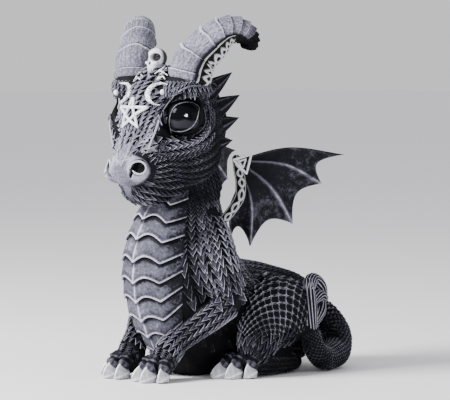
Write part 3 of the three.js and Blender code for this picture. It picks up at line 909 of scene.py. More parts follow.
def hornRelief(share, angle):
    look = hornLook
    wave = 0.05 * np.sin(2 * angle + 9 * share) + 0.03 * np.sin(5 * angle)
    phase = np.interp(share, look["lips"], np.arange(len(look["lips"]))) + wave * smoothStep(share, 0.05, 0.2)
    phase = np.maximum(phase, 0.001)
    ring = phase - np.floor(phase)
    lip = look["lip"] * (ring**1.4) * (1 - smoothStep(ring, 0.94, 1.0)) - 0.5 * look["lip"]
    crack = np.sin(13 * angle + 2.2 * np.sin(31 * share) + 5 * np.floor(phase))
    streak = np.sin(29 * angle + 3 * np.sin(17 * share)) * np.sin(11 * angle + 5 * np.sin(9 * share + 1))
    streak += 0.6 * np.sin(41 * angle - 4 * share) * np.sin(7 * angle + 23 * share)
    stria = look["stria"] * (streak + 0.4 * crack) * (0.5 + 0.5 * ring)
    turn = (angle - look["bandMiddle"] + math.pi) % (2 * math.pi) - math.pi
    across = turn / look["bandHalf"]
    band = 1 - smoothStep(np.abs(across), 0.97, 1.05)
    band *= 1 - smoothStep(share, look["bandEnd"], look["bandEnd"] + 0.03)
    knot = knotwork(across, share / look["knotPitch"])
    tip = smoothStep(share, 0.74, 0.86)
    plainWear = 0.68 + 0.42 * smoothStep(ring, 0.86, 0.95)
    plainWear -= 0.55 * (1 - smoothStep(ring, 0.0, 0.07)) * (phase > 1)
    plainWear = plainWear + 1.5 * stria - 0.25 * smoothStep(crack, 0.96, 1.0) - 0.75 * tip
    dark = smoothStep(np.abs(turn), look["bandHalf"] * 1.05, look["bandHalf"] * 1.5)
    plainWear = plainWear * (0.12 + 0.88 * dark)
    swell = look["bandSwell"] * np.cos(np.clip(turn, -1.5, 1.5)) ** 2 * (1 - smoothStep(share, 0.32, 0.66))
    height = (lip + stria) * (1 - band) + band * (0.32 * knot - 0.25) + swell
    wearAndLight = plainWear * (1 - band)
    return height, wearAndLight, 0.85 * band * knot


def makeHorns():
    bm = bmesh.new()
    for side in (1, -1):
        bendLimb(bm, hornPath, sides=120, rings=220, across=hornLook["across"], relief=hornRelief, side=side,
                 dome=0.02, blunt=0.35)
    finishPiece("horns", bm, resin)


# Belly plates: overlapping bands whose lower edges arch, dip to a cusp and rise
plateLook = {"count": 11, "columns": 60, "rows": 26, "proud": 1.0, "tuck": 0.4, "arch": 0.3, "cusp": 0.56,
             "flank": 0.62, "rimWidth": 0.1, "overlap": 0.35, "first": 0.02, "span": 0.95, "ridge": 0.34,
             "ridgeWidth": 0.026, "wallDepth": 1.3, "core": (0, -10)}


def plateBracket(share):
    look = plateLook
    share = np.abs(share)
    inner = -look["arch"] * np.sin(math.pi * np.clip(share / look["cusp"], 0, 1))
    outer = -look["flank"] * np.clip((share - look["cusp"]) / (1 - look["cusp"]), 0, 1) ** 1.15
    return np.where(share < look["cusp"], inner, outer)


def toCore(place):
    # Level, towards the upright line inside the breast
    x, y = plateLook["core"]
    return Vector((x - place.x, y - place.y, 0)).normalized()


def makePlates():
    look = plateLook
    bm = bmesh.new()
    wearAndLightLayer = bm.verts.layers.float.new("wearAndLight")
    for k in range(look["count"]):
        made = bmesh.ops.create_grid(bm, x_segments=look["columns"], y_segments=look["rows"], size=1.0)
        made = made["verts"]
        flat = np.array([v.co for v in made])
        across, down = flat[:, 0], 0.5 * (flat[:, 1] + 1)
        upper = k - look["overlap"] + plateBracket(across)
        lower = k + 1.0 + plateBracket(across)
        share = np.clip((upper + (lower - upper) * down) / look["count"], 0, 1.0)
        share = look["first"] + look["span"] * share
        angle = across * plateSpread(share)
        centre, along, wide, deep, girth, depth = framesAt(bodyForms["breast"], share, (1, 0, 0))
        front = np.where(deep[:, 1:2] > 0, -deep, deep)
        outward = wide * np.sin(angle)[:, None] + front * np.cos(angle)[:, None]
        rim = smoothStep(down, 1 - look["rimWidth"], 1 - 0.2 * look["rimWidth"])
        swell = look["tuck"] + (look["proud"] - look["tuck"]) * smoothStep(down, 0.15, 0.95)
        swell += 0.2 * rim + 0.12 * np.sin(math.pi * np.clip(np.abs(across) / look["cusp"], 0, 2)) * down
        ridge = np.exp(-((across / look["ridgeWidth"]) ** 2))
        swell += look["ridge"] * ridge
        base = centre + wide * (girth * np.sin(angle))[:, None] + front * (depth * np.cos(angle))[:, None]
        point = base + outward * swell[:, None]
        pit = grainAt(point, 1.6, k * 3.1)
        point += outward * (0.06 * pit)[:, None]
        light = 1 - 0.5 * smoothStep(np.abs(across), 0.5, 1.0)
        shade = 0.55 if k == 0 else 1.0
        wearAndLight = (0.56 * light + 0.5 * rim + 0.45 * ridge) * shade + 0.16 * pit + 0.12 * grainAt(point, 0.35, 5)
        wearAndLight -= 0.4 * (1 - smoothStep(down, 0.3, 0.5)) + 0.12 * smoothStep(down, 0.75, 0.88) * (1 - rim)
        for i, v in enumerate(made):
            v.co = point[i]
            v[wearAndLightLayer] = wearAndLight[i]
    corners, _ = wallBorder(bm, [e for e in bm.edges if e.is_boundary])
    for v in corners:
        v.co += toCore(v.co) * look["wallDepth"]
        v[wearAndLightLayer] = 0.0
    bmesh.ops.holes_fill(bm, edges=[e for e in bm.edges if e.is_boundary], sides=0)
    bmesh.ops.triangulate(bm, faces=[f for f in bm.faces if len(f.verts) > 4])
    finishPiece("bellyPlates", bm, resin)


# Wings: a banded arm, finger bones and mottled skin between them
wingWrist = (9, -0.4, 59.8)
wingLook = {"fingers": [[wingWrist, (16, 13.6, 63.2), (22.6, 28.7, 61)],
                        [wingWrist, (15, 12.8, 58.4), (19.6, 22.8, 52.8)],
                        [wingWrist, (13.2, 8.6, 52.2), (16, 14.9, 41.7)],
                        [wingWrist, (10.8, 3.4, 48.4), (10.8, 3.3, 35.8)],
                        [wingWrist, (9, 1, 54), (6.6, -0.6, 46), (6, 0.6, 38)]],
            "facing": (0.907, -0.421, 0), "scallop": 0.17, "cup": 1.1, "thin": 0.6, "bone": 1.05, "cells": 30,
            "reach": 44, "aside": 1000}


def fingerPoint(stops, share):
    value, _ = splineAt([list(stop) + [0, 0] for stop in stops], share)
    return value[..., :3]


def freshEdges(bm, axis):
    # The long edges along one axis of the box that is still at the middle
    return [e for e in bm.edges if max(abs(c) for v in e.verts for c in v.co) < 1.0001
            and abs(e.verts[0].co[axis] - e.verts[1].co[axis]) > 1]


def makeSails():
    look = wingLook
    bm = bmesh.new()
    wearAndLightLayer = bm.verts.layers.float.new("wearAndLight")
    facing = np.array(look["facing"])
    panels = len(look["fingers"]) - 1
    for side in (1, -1):
        # A box two units wide is cut into cells across and outwards
        bmesh.ops.create_cube(bm, size=2.0)
        for axis, cells in enumerate((panels * look["cells"], look["reach"])):
            bmesh.ops.subdivide_edges(bm, edges=freshEdges(bm, axis), cuts=cells - 1, use_grid_fill=True)
        made = [v for v in bm.verts if max(abs(c) for c in v.co) < 1.0001]
        flat = np.array([v.co for v in made])
        place = np.clip((flat[:, 0] + 1) / 2 * panels, 0, panels - 1e-6)
        panel = np.floor(place).astype(int)
        sideways = place - panel
        bow = np.sin(math.pi * sideways)
        outwards = 0.05 + 0.5 * (flat[:, 1] + 1) * (0.95 - look["scallop"] * bow**0.8)
        curves = np.array([fingerPoint(stops, outwards) for stops in look["fingers"]])
        index = np.arange(len(made))
        point = curves[panel, index] * (1 - sideways)[:, None] + curves[panel + 1, index] * sideways[:, None]
        boneGap = np.minimum(sideways, 1 - sideways) * outwards * 14
        bone = np.exp(-((boneGap / 0.55) ** 2))
        mottle = grainAt(point, 0.55, 2) + 0.6 * grainAt(point, 1.5, 8)
        crease = np.abs(np.sin(7 * sideways * math.pi + 2 * mottle)) * outwards
        thick = look["thin"] + look["bone"] * bone * (1.15 - 0.6 * outwards)
        point -= facing * (look["cup"] * bow * outwards)[:, None]
        point += facing * (flat[:, 2] * 0.5 * thick + 0.08 * mottle - 0.05 * crease)[:, None]
        point[:, 0] *= side
        edge = smoothStep(flat[:, 1], 0.94, 1.0)
        wearAndLight = 0.02 + 0.3 * smoothStep(outwards, 0.15, 0.7) + 0.26 * mottle * outwards
        wearAndLight += 0.5 * bone + 0.2 * edge
        wearAndLight -= 0.06 * crease + 0.4 * (place < 0.06)
        # A finished sail waits aside, so that the next box is alone at the middle
        for i, v in enumerate(made):
            v.co = point[i]
            v[wearAndLightLayer] = wearAndLight[i]
            v.co.x += look["aside"]
    for v in bm.verts:
        v.co.x -= look["aside"]
    finishPiece("wingSails", bm, resin)


armLook = {"path": [(9.8, -6.6, 43.2, 1.4, 1.1), (10.3, -3.8, 45.8, 1.5, 1.2), (10.7, -0.9, 49.6, 1.5, 1.3),
                    (9.9, 0.3, 53.6, 1.4, 1.3), (9.3, 0, 57, 1.3, 1.2), (9, -0.4, 60.2, 1.2, 1.1)],
           "across": (0.78, -0.62, 0), "bandMiddle": 0.3, "bandHalf": 1.3, "ground": 0.05, "scrolls": 3.0,
           "raise": 0.28, "silver": 0.75, "frameLift": 1.5,
           "frames": [([(231.4, 159.6), (249.5, 154.2), (244.8, 173.5)], 0.3),
                      ([(236.4, 161.6), (244.2, 158.6), (241.6, 167.2)], 0.2)]}


def armRelief(share, angle):
    look = armLook
    across = ((angle - look["bandMiddle"] + math.pi) % (2 * math.pi) - math.pi) / look["bandHalf"]
    knot = knotwork(across, share * look["scrolls"])
    band = 1 - smoothStep(np.abs(across), 0.98, 1.05)
    return look["raise"] * knot * band, look["ground"] + 0 * share, look["silver"] * knot * band


brightRelief = evenRelief(0.9, 1)


def onWing(column, row, lift):
    # The wing lies in a plane through its wrist
    start, run = pixelRay(column, row)
    facing = Vector(wingLook["facing"])
    reach = (Vector(wingWrist) - start).dot(facing) / run.dot(facing)
    return start + run * reach + facing * lift


def makeWingArms():
    look = armLook
    bm = bmesh.new()
    for side in (1, -1):
        bendLimb(bm, look["path"], sides=56, rings=140, across=look["across"], relief=armRelief, side=side)
        for pixels, girth in look["frames"]:
            corners = [onWing(*spot, look["frameLift"]) for spot in pixels]
            for k, start in enumerate(corners):
                end = corners[(k + 1) % len(corners)]
                stops = [(*start, girth), (*start.lerp(end, 0.5), girth * 1.15), (*end, girth * 0.8)]
                bendLimb(bm, stops, sides=12, rings=16, relief=brightRelief, side=side, dome=0.06)
    finishPiece("wingArms", bm, resin)


# Toes and claws: each toe has a root, a tip and a girth
footLook = {"fore": [((5, -27.4, 5), (3.4, -34), 2.0), ((7.6, -28, 5.2), (7.7, -34.6), 2.1),
                     ((10, -26.8, 4.6), (12, -31.8), 1.9)],
            "hind": [((15, -5.6, 4.6), (12.9, -13.4), 2.1), ((17, -4.6, 5), (17, -11.6), 2.2),
                     ((19, -2, 4.6), (20.2, -7.2), 2.0)],
            # Share of the way out, share of the root's height, rise, and width and depth in girths
            "toe": [(-0.15, 1, 0.2, 0.85, 0.9), (0.15, 1, 0.5, 0.85, 0.95), (0.32, 0, 4.4, 0.8, 0.95),
                    (0.46, 0, 3.7, 0.7, 0.8)],
            "claw": [(0.36, 0, 1.75, 0.8, 1.4), (0.56, 0, 1.65, 0.95, 1.3), (0.78, 0, 1.2, 0.9, 0.95),
                     (0.97, 0, 0.6, 0.62, 0.42)]}


def toeRelief(share, angle):
    knuckle = np.cos(share * 4.2 * math.pi) * 0.2
    wrinkle = 0.13 * np.sin(share * 40) * (0.5 + 0.5 * np.sin(angle)) + 0.08 * np.sin(5 * angle + 6 * share)
    return knuckle + wrinkle, 0.16 + 0.8 * knuckle + 1.3 * wrinkle, np.zeros_like(share)


clawLook = {"flats": [(-90, 0.6), (-12, 0.92), (192, 0.92), (38, 0.74), (142, 0.74)], "far": 9.0,
            "depth": 1.9}


def clawRelief(share, angle):
    # Flat below, two sides and a roof with a ridge
    reach = []
    for way, gap in clawLook["flats"]:
        facing = np.cos(angle - math.radians(way))
        reach.append(np.where(facing > 0.05, gap / np.maximum(facing, 0.05), clawLook["far"]))
    nearest, second = np.sort(reach, axis=0)[:2]
    edge = 1 - smoothStep(second - nearest, 0.0, 0.16)
    wearAndLight = 0.36 + 0.55 * edge - 0.35 * (1 - smoothStep(share, 0.02, 0.12))
    wearAndLight += 0.06 * np.sin(19 * share + 3 * angle)
    return (nearest - 1) * clawLook["depth"], wearAndLight, np.zeros_like(share)


def footPath(stops, root, tip, girth):
    path = []
    for share, ofRoot, rise, wide, deep in stops:
        x, y = (root[i] + (tip[i] - root[i]) * share for i in (0, 1))
        path.append((x, y, root[2] * ofRoot + rise, wide * girth, deep * girth))
    return path


def makeFeet():
    toes, claws = bmesh.new(), bmesh.new()
    for side in (1, -1):
        for toe in footLook["fore"] + footLook["hind"]:
            bendLimb(toes, footPath(footLook["toe"], *toe), sides=28, rings=44, relief=toeRelief, side=side)
            bendLimb(claws, footPath(footLook["claw"], *toe), sides=32, rings=30, relief=clawRelief,
                     side=side, dome=0.08, blunt=0.4)
    for bm in (toes, claws):
        keepAboveFloor(bm)
    finishPiece("toes", toes, resin)
    finishPiece("claws", claws, silverPaint)


# Eyes: a lacquered ball with a painted reflection, a thin rim and a dark lid
def onEyeball(column, row):
    # The place on the eyeball that the photo shows at a pixel, or on the level ring behind it
    start, run = pixelRay(column, row)
    look = eyeLook
    facing = Vector(look["facing"])
    toEye = Vector(look["centre"]) - start
    near = toEye.dot(run)
    miss = (toEye - run * near).length
    place = start + run * (near - math.sqrt(max(look["rimBall"] ** 2 - miss**2, 0.0)))
    if (place - Vector(look["centre"])).dot(facing) < look["rimLeast"]:
        place = start + run * ((toEye.dot(facing) + look["rimLeast"]) / run.dot(facing))
    return place


def makeEyes():
    look = eyeLook
    balls, rims = bmesh.new(), bmesh.new()
    wearAndLightLayer = balls.verts.layers.float.new("wearAndLight")
    facing = Vector(look["facing"])
    sideways = Vector(look["across"])
    for side in (1, -1):
        made = bmesh.ops.create_uvsphere(balls, u_segments=80, v_segments=52, radius=look["radius"])["verts"]
        for v in made:
            out = v.co.normalized()
            lower = -out.z - 0.02 + 0.04 * math.cos(9 * out.dot(sideways))
            wearAndLight = 0.2 + 0.5 * float(smoothStep(lower, 0.0, 0.16) * (1 - smoothStep(-out.z, 0.45, 0.62)))
            # A small white dot on each ball is a painted reflection
            paintedGlint = (out - (facing + Vector(look["paintedGlint"])).normalized()).length
            v[wearAndLightLayer] = 1.0 if paintedGlint < look["paintedGlintSize"] else wearAndLight
            v.co = v.co + Vector(look["centre"])
            v.co.x *= side
        stops = [(*onEyeball(*spot), look["rimGirth"]) for spot in look["rimPixels"]]
        bendLimb(rims, stops, sides=14, rings=180, across=look["facing"], side=side, dome=0.01,
                 relief=evenRelief(look["rimWear"]))
        # A dark lid hides the ball outside the rim
        lid = addBall(rims, (0, 0, 0), (1, 1, 1), sides=72, rings=48)
        aim = facing.to_track_quat("Z", "Y")
        for v in lid:
            inside = v.co.z > look["lidOpening"]
            v.co = Vector(look["centre"]) + aim @ v.co * (look["lidBall"] - look["lidSink"] * inside)
            v.co.x *= side
    finishPiece("eyes", balls, eyeGloss)
    finishPiece("eyeRims", rims, resin)


# Brow lines: a thin smooth rim that runs from the nostril over the eye, and fine arcs behind the eye
browLook = {"pixels": [(147.6, 152.6), (152.2, 140), (157, 128), (164.2, 109.2), (177.4, 93.8), (190.4, 86.6),
                       (204, 86.4)], "stops": 24, "girth": 0.25, "tip": 0.35, "taper": 0.22, "lift": 0.35}
eyeArcs = {"lines": [[(203.5, 110), (204.8, 120.4), (202.4, 127.4), (197.6, 132.4)],
                     [(208.4, 108), (209.4, 119.4), (207.2, 127.4), (200.6, 134.6)],
                     [(212.4, 110), (213.4, 120.4), (211.4, 128.4), (205.6, 136.4)]],
           "girth": 0.13, "lift": 0.5, "bright": 0.5}


def browRelief(share, angle):
    return 0 * share, 0.85 - 0.3 * smoothStep(share, 0.5, 0.9), 0 * share


def makeBrows():
    bm = bmesh.new()
    look = browLook
    stops = []
    for k, spot in enumerate(alongPixels(look["pixels"], look["stops"])):
        taper = min(1.0, look["tip"] + look["taper"] * min(k, look["stops"] - 1 - k))
        stops.append((*onHead(*spot, look["lift"]), look["girth"] * taper))
    for side in (1, -1):
        bendLimb(bm, stops, sides=14, rings=130, side=side, dome=0.02, relief=browRelief)
        for line in eyeArcs["lines"]:
            girths = [eyeArcs["girth"]] * len(line)
            layStrip(bm, line, girths, eyeArcs["lift"], side, bright=eyeArcs["bright"])
    finishPiece("browLines", bm, resin)


# Cheek spikes: flat, ribbed, along the back edge of the cheek
spikeLook = [((11.4, -13.6, 79), (15.0, -7.8, 84.2)), ((12.1, -11.3, 74.2), (16.0, -5.9, 78)),
             ((11.8, -11.0, 69.4), (15.7, -5.9, 71.8)), ((10.9, -11.0, 64.6), (14.2, -6.9, 65.6))]


def spikeRelief(share, angle):
    rib = np.abs(np.cos(angle * 3 + 0.5)) ** 2.5
    return 0.4 * rib * (1 - share) - 0.15, 0.04 + 0.46 * rib**3, np.zeros_like(share)


def makeSpikes():
    bm = bmesh.new()
    for side in (1, -1):
        for root, tip in spikeLook:
            middle = tuple(0.5 * (a + b) for a, b in zip(root, tip))
            path = [(*root, 2.9, 1.3), (*middle, 1.8, 0.9), (*tip, 0.3, 0.26)]
            bendLimb(bm, path, sides=36, rings=40, across=(0, 0, 1), relief=spikeRelief, side=side, dome=0.05)
    finishPiece("cheekSpikes", bm, resin)


# Tail tuft: draped bands of long strands, and a ball that fills the space between them
tuftBall = {"centre": (18.9, 20.8, 19.6), "radii": (1.5, 3.2, 4.2)}
tuftBands = [[(21, 16.8, 11, 2.2, 1.9), (20.8, 16.8, 18, 2.3, 1.9), (18.6, 18.4, 25, 1.7, 1.5)],
             [(19.4, 18, 23.6, 1.6, 1.5), (18.2, 20.6, 26, 2.1, 1.7), (17.8, 24, 23.8, 2, 1.6),
              (18.2, 25.6, 20, 0.8, 0.7)],
             [(18.2, 24.6, 20.4, 1, 0.9), (19.6, 21.8, 17, 2, 1.6), (21, 18.6, 14.6, 1.6, 1.5)],
             [(19.9, 18, 20, 2.2, 1.5), (19.3, 21.4, 21.4, 2.6, 1.6), (18.6, 24.6, 20.4, 1.5, 1.2)]]


def strandRelief(share, angle):
    groove = np.abs(np.sin(6.5 * angle + 2.5 * share + 0.6 * np.sin(5 * share + 2 * angle))) ** 1.6
    return 0.4 * groove - 0.3, 0.06 + 0.86 * groove**2, np.zeros_like(share)


def makeTuft():
    bm = bmesh.new()
    for path in tuftBands:
        bendLimb(bm, path, sides=112, rings=60, relief=strandRelief)
    addBall(bm, tuftBall["centre"], tuftBall["radii"])
    finishPiece("tailTuft", bm, resin)


# Brow ornaments
brow = {
    "star": [(0, 77.4), (5.3, 74.9), (3.1, 69.5), (-3.1, 69.5), (-5.3, 74.9)],
    "starBar": 0.33, "starLift": 0.8, "starStops": 8, "weave": 0.16, "weaves": 1.5,
    "moonGirth": [0.12, 0.42, 0.75, 0.88, 0.75, 0.42, 0.12], "moonFlat": 0.6, "pits": 1.1, "lift": 0.5,
    "dotLift": 0.45, "dotRadii": (0.8, 0.7, 0.8), "sprigGirth": [0.12, 0.22, 0.12],
    "drop": [(148.6, 72.4), (149.8, 76.4), (150.4, 80.6)], "dropGirth": [0.12, 0.42, 0.16], "dropLift": 0.3,
    "dropBright": 0.12,
}
moonPixels = {
    "near": {"moon": [(169, 84.8), (161, 84.2), (153, 87.4), (148.6, 93.6), (149.4, 100.2), (154.2, 104.4),
                      (160.4, 105.6)],
             "dot": (163.6, 92.8),
             "sprigs": [[(156.6, 81.2), (161.5, 75.5), (166.6, 69.4)],
                        [(155.6, 74.6), (161, 72.4), (168.8, 76.6)],
                        [(158.6, 80.2), (163, 77.4), (166, 80.4)],
                        [(159.4, 71.6), (162.4, 70.4), (165, 67.8)]]},
    "far": {"moon": [(121, 83.6), (127.6, 84.4), (131, 89), (130.4, 95.4), (126, 100.6), (120, 103.8),
                     (113.6, 105)],
            "dot": (117.4, 92.6),
            "sprigs": [[(134.4, 82.4), (139, 76.6), (143.4, 70.4)],
                       [(133.4, 74.2), (138.6, 73.6), (144, 77.6)],
                       [(136, 80.8), (139.6, 79), (142.2, 81.4)],
                       [(137, 71.8), (139.4, 70.8), (141.4, 68.8)]]},
}
nostrilLook = {
    "hole": (138, 167.6), "radius": 2.05, "tailTop": (131.6, 169), "tailEnd": (131, 176.5),
    "tailRadius": 0.5, "depth": 2.0, "torus": 0.5, "inward": (-0.5, 0.85, 0.05),
    "rim": [(130.4, 168.4), (131.8, 164.6), (135.4, 162.2), (140.2, 161.8), (144.4, 164.2), (146, 168.6),
            (144, 172.6), (139.6, 174.2), (135.2, 172.8), (133, 170.6)],
    "rimGirth": 0.26, "rimEnd": 0.12, "rimLift": 0.12, "rimAcross": (0.5, -0.85, 0),
    "ridges": [((133.4, 140.6), (121.6, 166)), ((110, 153), (121, 164))],
    "ridgeGirth": 0.3, "ridgeLift": 0.02, "ridgeStops": 5,
}


def digNostrils():
    # A comma-shaped hole inside a swollen ring
    look = nostrilLook
    points = np.array([v.co for v in headSkin.verts])
    wearAndLightLayer = headSkin.verts.layers.float["wearAndLight"]
    wearAndLight = np.array([v[wearAndLightLayer] for v in headSkin.verts])
    nose = muzzleShare(points)
    for side in (1, -1):
        flip = np.array((side, 1, 1))
        hole = np.array(onHead(*look["hole"], 0)) * flip
        tail = [np.array(onHead(*look[key], 0)) * flip for key in ("tailTop", "tailEnd")]
        inward = unitRows(np.array(look["inward"]) * flip)
        away = points - hole
        flat = away - inward * (away @ inward)[:, None]
        run = tail[1] - tail[0]
        share = np.clip((points - tail[0]) @ run / (run @ run), 0, 1)
        tailGap = np.linalg.norm(points - tail[0] - share[:, None] * run, axis=1) / look["tailRadius"]
        ring = np.linalg.norm(flat, axis=1) / look["radius"]
        close = np.linalg.norm(away, axis=1) < 3 * look["radius"]
        near = np.minimum(ring, tailGap)
        sink = np.where(close, 1 - smoothStep(near, 0.75, 1.05), 0)
        swell = np.where(close, np.exp(-((ring - 1.5) / 0.42) ** 2), 0) * (1 - sink)
        points += inward * (sink * look["depth"] - look["torus"] * swell)[:, None]
        wearAndLight = np.where(close, wearAndLight * (1 - sink) + 0.2 * swell * nose, wearAndLight)
    for k, v in enumerate(headSkin.verts):
        v.co = points[k]
        v[wearAndLightLayer] = wearAndLight[k]


def makeNostrilRims():
    # The nostrils' rims and the fine ridges of the nose
    look = nostrilLook
    bm = bmesh.new()
    girths = [look["rimEnd"]] + [look["rimGirth"]] * (len(look["rim"]) - 2) + [look["rimEnd"]]
    rim = [(*onHead(*spot, look["rimLift"]), girth) for spot, girth in zip(look["rim"], girths)]
    for side in (1, -1):
        bendLimb(bm, rim, sides=14, rings=110, side=side, dome=0.02, across=look["rimAcross"],
                 relief=evenRelief(0.95, 0.15))
        for start, end in look["ridges"]:
            ridge = []
            for k in range(look["ridgeStops"] + 1):
                spot = (start[i] + (end[i] - start[i]) * k / look["ridgeStops"] for i in (0, 1))
                ridge.append((*onHead(*spot, look["ridgeLift"]), look["ridgeGirth"]))
            bendLimb(bm, ridge, sides=12, rings=50, side=side, dome=0.05, relief=evenRelief(0.8))
    finishPiece("nostrilRims", bm, resin)


def pitAt(share, angle):
    # Small punched dots
    pattern = np.sin(56 * share) * np.sin(3 * angle + 0.5)
    return smoothStep(pattern, 0.45, 0.75) * (1 - smoothStep(np.abs(share - 0.5), 0.36, 0.42))


def layStrip(bm, pixels, girths, lift, side=1, flat=1.0, bright=0.9, pits=0.0):
    # A raised strip that follows the brow from pixel to pixel
    stops = [(*onHead(*spot, lift), girth, girth * flat) for spot, girth in zip(pixels, girths)]
    first, middle, last = (Vector(stops[k][:3]) for k in (0, len(stops) // 2, -1))
    across = (middle - Vector(headForms["skull"][0])).cross(last - first)
    sides, rings = (24, 18) if pits else (16, 12)
    bendLimb(bm, stops, sides=sides, rings=rings * len(stops), side=side, dome=0.04, across=across,
             relief=lambda share, angle: (0 * share, bright - pits * pitAt(share, angle), 0 * share))


def makeStar():
    # Five bars that weave over and under each other
    look = brow
    bm = bmesh.new()
    for k in range(5):
        start, end = look["star"][2 * k % 5], look["star"][(2 * k + 2) % 5]
        stops = []
        for j in range(look["starStops"] + 1):
            share = j / look["starStops"]
            x, z = (start[i] + (end[i] - start[i]) * share for i in (0, 1))
            place, _, _, _ = headTree.ray_cast(Vector((x, -60, z)), Vector((0, 1, 0)))
            weave = look["weave"] * math.cos(2 * math.pi * share * look["weaves"])
            stops.append((x, place.y - look["starLift"] + weave, z, look["starBar"] * 1.25, look["starBar"]))
        across = (Vector(stops[-1][:3]) - Vector(stops[0][:3])).cross(Vector((0, 1, 0)))
        bendLimb(bm, stops, sides=16, rings=60, across=across, dome=0.02, relief=brightRelief)
    finishPiece("star", bm, silverPaint)


def makeMoons():
    look = brow
    bm = bmesh.new()
    for marks in moonPixels.values():
        layStrip(bm, marks["moon"], look["moonGirth"], look["lift"], flat=look["moonFlat"], pits=look["pits"])
        addBall(bm, onHead(*marks["dot"], look["dotLift"]), look["dotRadii"], sides=16, rings=10)
        for strip in marks["sprigs"]:
            layStrip(bm, strip, look["sprigGirth"], look["lift"])
    layStrip(bm, look["drop"], look["dropGirth"], look["dropLift"], bright=look["dropBright"])
    wearAndLightLayer = bm.verts.layers.float["wearAndLight"]
    for v in bm.verts:
        v[wearAndLightLayer] = v[wearAndLightLayer] or 1.0
    finishPiece("moonsAndSprigs", bm, silverPaint)


# Skull of overlapping balls, each placed from the middle of the brain case
skullLook = {
    "centre": (0, -21.8, 88.3), "voxel": 0.13, "smoothing": 2,
    "balls": [((0, 0, 0), (2.75, 2.9, 2.7)), ((0, -1.5, -1.9), (1.75, 1.5, 1.9)),
              ((0, -1.7, -3.7), (1.35, 1.1, 1.0)), ((0, 0.8, -4), (2.4, 2.0, 4.0))],
    "paired": [((1.55, -1.9, -1.3), (0.8, 0.8, 0.6)), ((1.2, -2.2, 0.75), (1.0, 0.7, 0.45))],
    "tooth": (0.24, 0.3, 0.5), "teeth": range(-2, 3), "toothGap": 0.5, "toothBack": 0.09,
    "toothRow": (-2.75, -3.35),
    # Place, radius and depth
    "sockets": [((1.4, -2.4, 0.15), 1.3, 1.5), ((-1.4, -2.4, 0.15), 1.3, 1.5),
                ((0, -3.0, -1.5), 0.62, 1.0)],
    "wearAndLight": 0.85,
}


def onSkull(offset):
    return tuple(a + b for a, b in zip(skullLook["centre"], offset))


def makeSkull():
    look = skullLook
    bm = bmesh.new()
    _, y, z = look["centre"]
    for offset, radii in look["balls"]:
        addBall(bm, onSkull(offset), radii)
    for side in (1, -1):
        for offset, radii in look["paired"]:
            addBall(bm, onSkull(offset), radii, side=side)
    forward, down = look["toothRow"]
    for k in look["teeth"]:
        place = onSkull((look["toothGap"] * k, forward + look["toothBack"] * k * k, down))
        addBall(bm, place, look["tooth"], sides=12, rings=8)
    skin = mergeShapes(bm, look["voxel"], look["smoothing"])
    wearAndLightLayer = skin.verts.layers.float.new("wearAndLight")
    for v in skin.verts:
        place = v.co.copy()
        wearAndLight = look["wearAndLight"]
        for offset, radius, depth in look["sockets"]:
            middle = onSkull(offset)
            gap = Vector((place.x - middle[0], 0.3 * (place.y - middle[1]), place.z - middle[2])).length
            sink = 1 - float(smoothStep(gap, 0.75 * radius, 1.0 * radius))
            v.co.y += depth * sink
            wearAndLight = wearAndLight * (1 - sink) - 0.35 * sink
        wearAndLight -= 1.1 * float(smoothStep(place.y, y - 0.7, y + 0.5))
        if place.z < z - 2.9:
            wearAndLight *= 0.55 + 0.45 * math.cos(4 * math.pi * place.x)
        v[wearAndLightLayer] = wearAndLight
    finishPiece("skullOrnament", skin, silverPaint)


def finishSkins():
    # The breast sinks a little under its plates
    wearAndLightLayer = bodySkin.verts.layers.float.new("wearAndLight")
    underPlates = ~plateEdge(np.array([v.co for v in bodySkin.verts]), 0.97)
    for v, under in zip(bodySkin.verts, underPlates):
        v[wearAndLightLayer] = bodySkinLook["wearAndLight"]
        if under:
            v.co += toCore(v.co) * bodySkinLook["sink"]
    finishPiece("bodySkin", bodySkin, resin)
    finishPiece("headSkin", headSkin, resin)


coatTrunk()
coatLimbs()
coatTail()
coatHead()
makeHorns()
makePlates()
makeSails()
makeWingArms()
makeFeet()
makeEyes()
makeBrows()
makeSpikes()
makeTuft()
makeStar()
makeMoons()
makeSkull()
makeNostrilRims()
digNostrils()

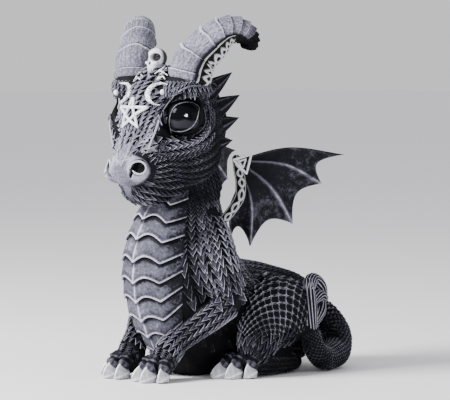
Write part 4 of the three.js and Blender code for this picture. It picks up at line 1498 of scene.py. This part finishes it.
finishSkins()

# Floor, light and camera
studio = {
    "floorColour": (0.94, 0.93, 0.95), "floorSize": 8.0, "floorRoughness": 0.55,
    "worldColour": (0.95, 0.95, 0.98), "worldStrength": 0.85, "aim": (0, 0, 0.05),
    "lamps": {"keyLamp": {"azimuth": -18, "height": 0.42, "distance": 0.5, "size": 0.22, "power": 10.0},
              "fillLamp": {"azimuth": 110, "height": 0.2, "distance": 0.7, "size": 0.4, "power": 0.6}},
}


def makeStudio():
    bpy.ops.mesh.primitive_plane_add(size=studio["floorSize"], location=(0, 0, lowest[2]))
    floor = bpy.context.object
    floor.name = "floor"
    material, _, _, shader = newMaterial("paleFloor")
    shader.inputs["Base Color"].default_value = (*studio["floorColour"], 1)
    shader.inputs["Roughness"].default_value = studio["floorRoughness"]
    floor.data.materials.append(material)
    world = bpy.data.worlds.new("studio")
    bpy.context.scene.world = world
    world.use_nodes = True
    background = world.node_tree.nodes["Background"]
    background.inputs["Color"].default_value = (*studio["worldColour"], 1)
    background.inputs["Strength"].default_value = studio["worldStrength"]


def addLamp(name, azimuth, height, distance, size, power):
    lamp = bpy.data.lights.new(name, "AREA")
    lamp.size = size
    lamp.energy = power
    holder = bpy.data.objects.new(name, lamp)
    turn = math.radians(azimuth)
    holder.location = (distance * math.sin(turn), -distance * math.cos(turn), height)
    aim = Vector(studio["aim"]) - holder.location
    holder.rotation_euler = aim.to_track_quat("-Z", "Y").to_euler()
    bpy.context.collection.objects.link(holder)


def makeCamera():
    place, _, _, forward = cameraFrame()
    lens = bpy.data.cameras.new("camera")
    lens.sensor_width = view["sensor"]
    lens.lens = view["focal"] / picture["width"] * view["sensor"]
    camera = bpy.data.objects.new("camera", lens)
    camera.location = origin + place * unit
    camera.rotation_euler = forward.to_track_quat("-Z", "Y").to_euler()
    bpy.context.collection.objects.link(camera)
    bpy.context.scene.camera = camera


makeStudio()
for lampName, lampLook in studio["lamps"].items():
    addLamp(lampName, **lampLook)
makeCamera()
print("studio made")
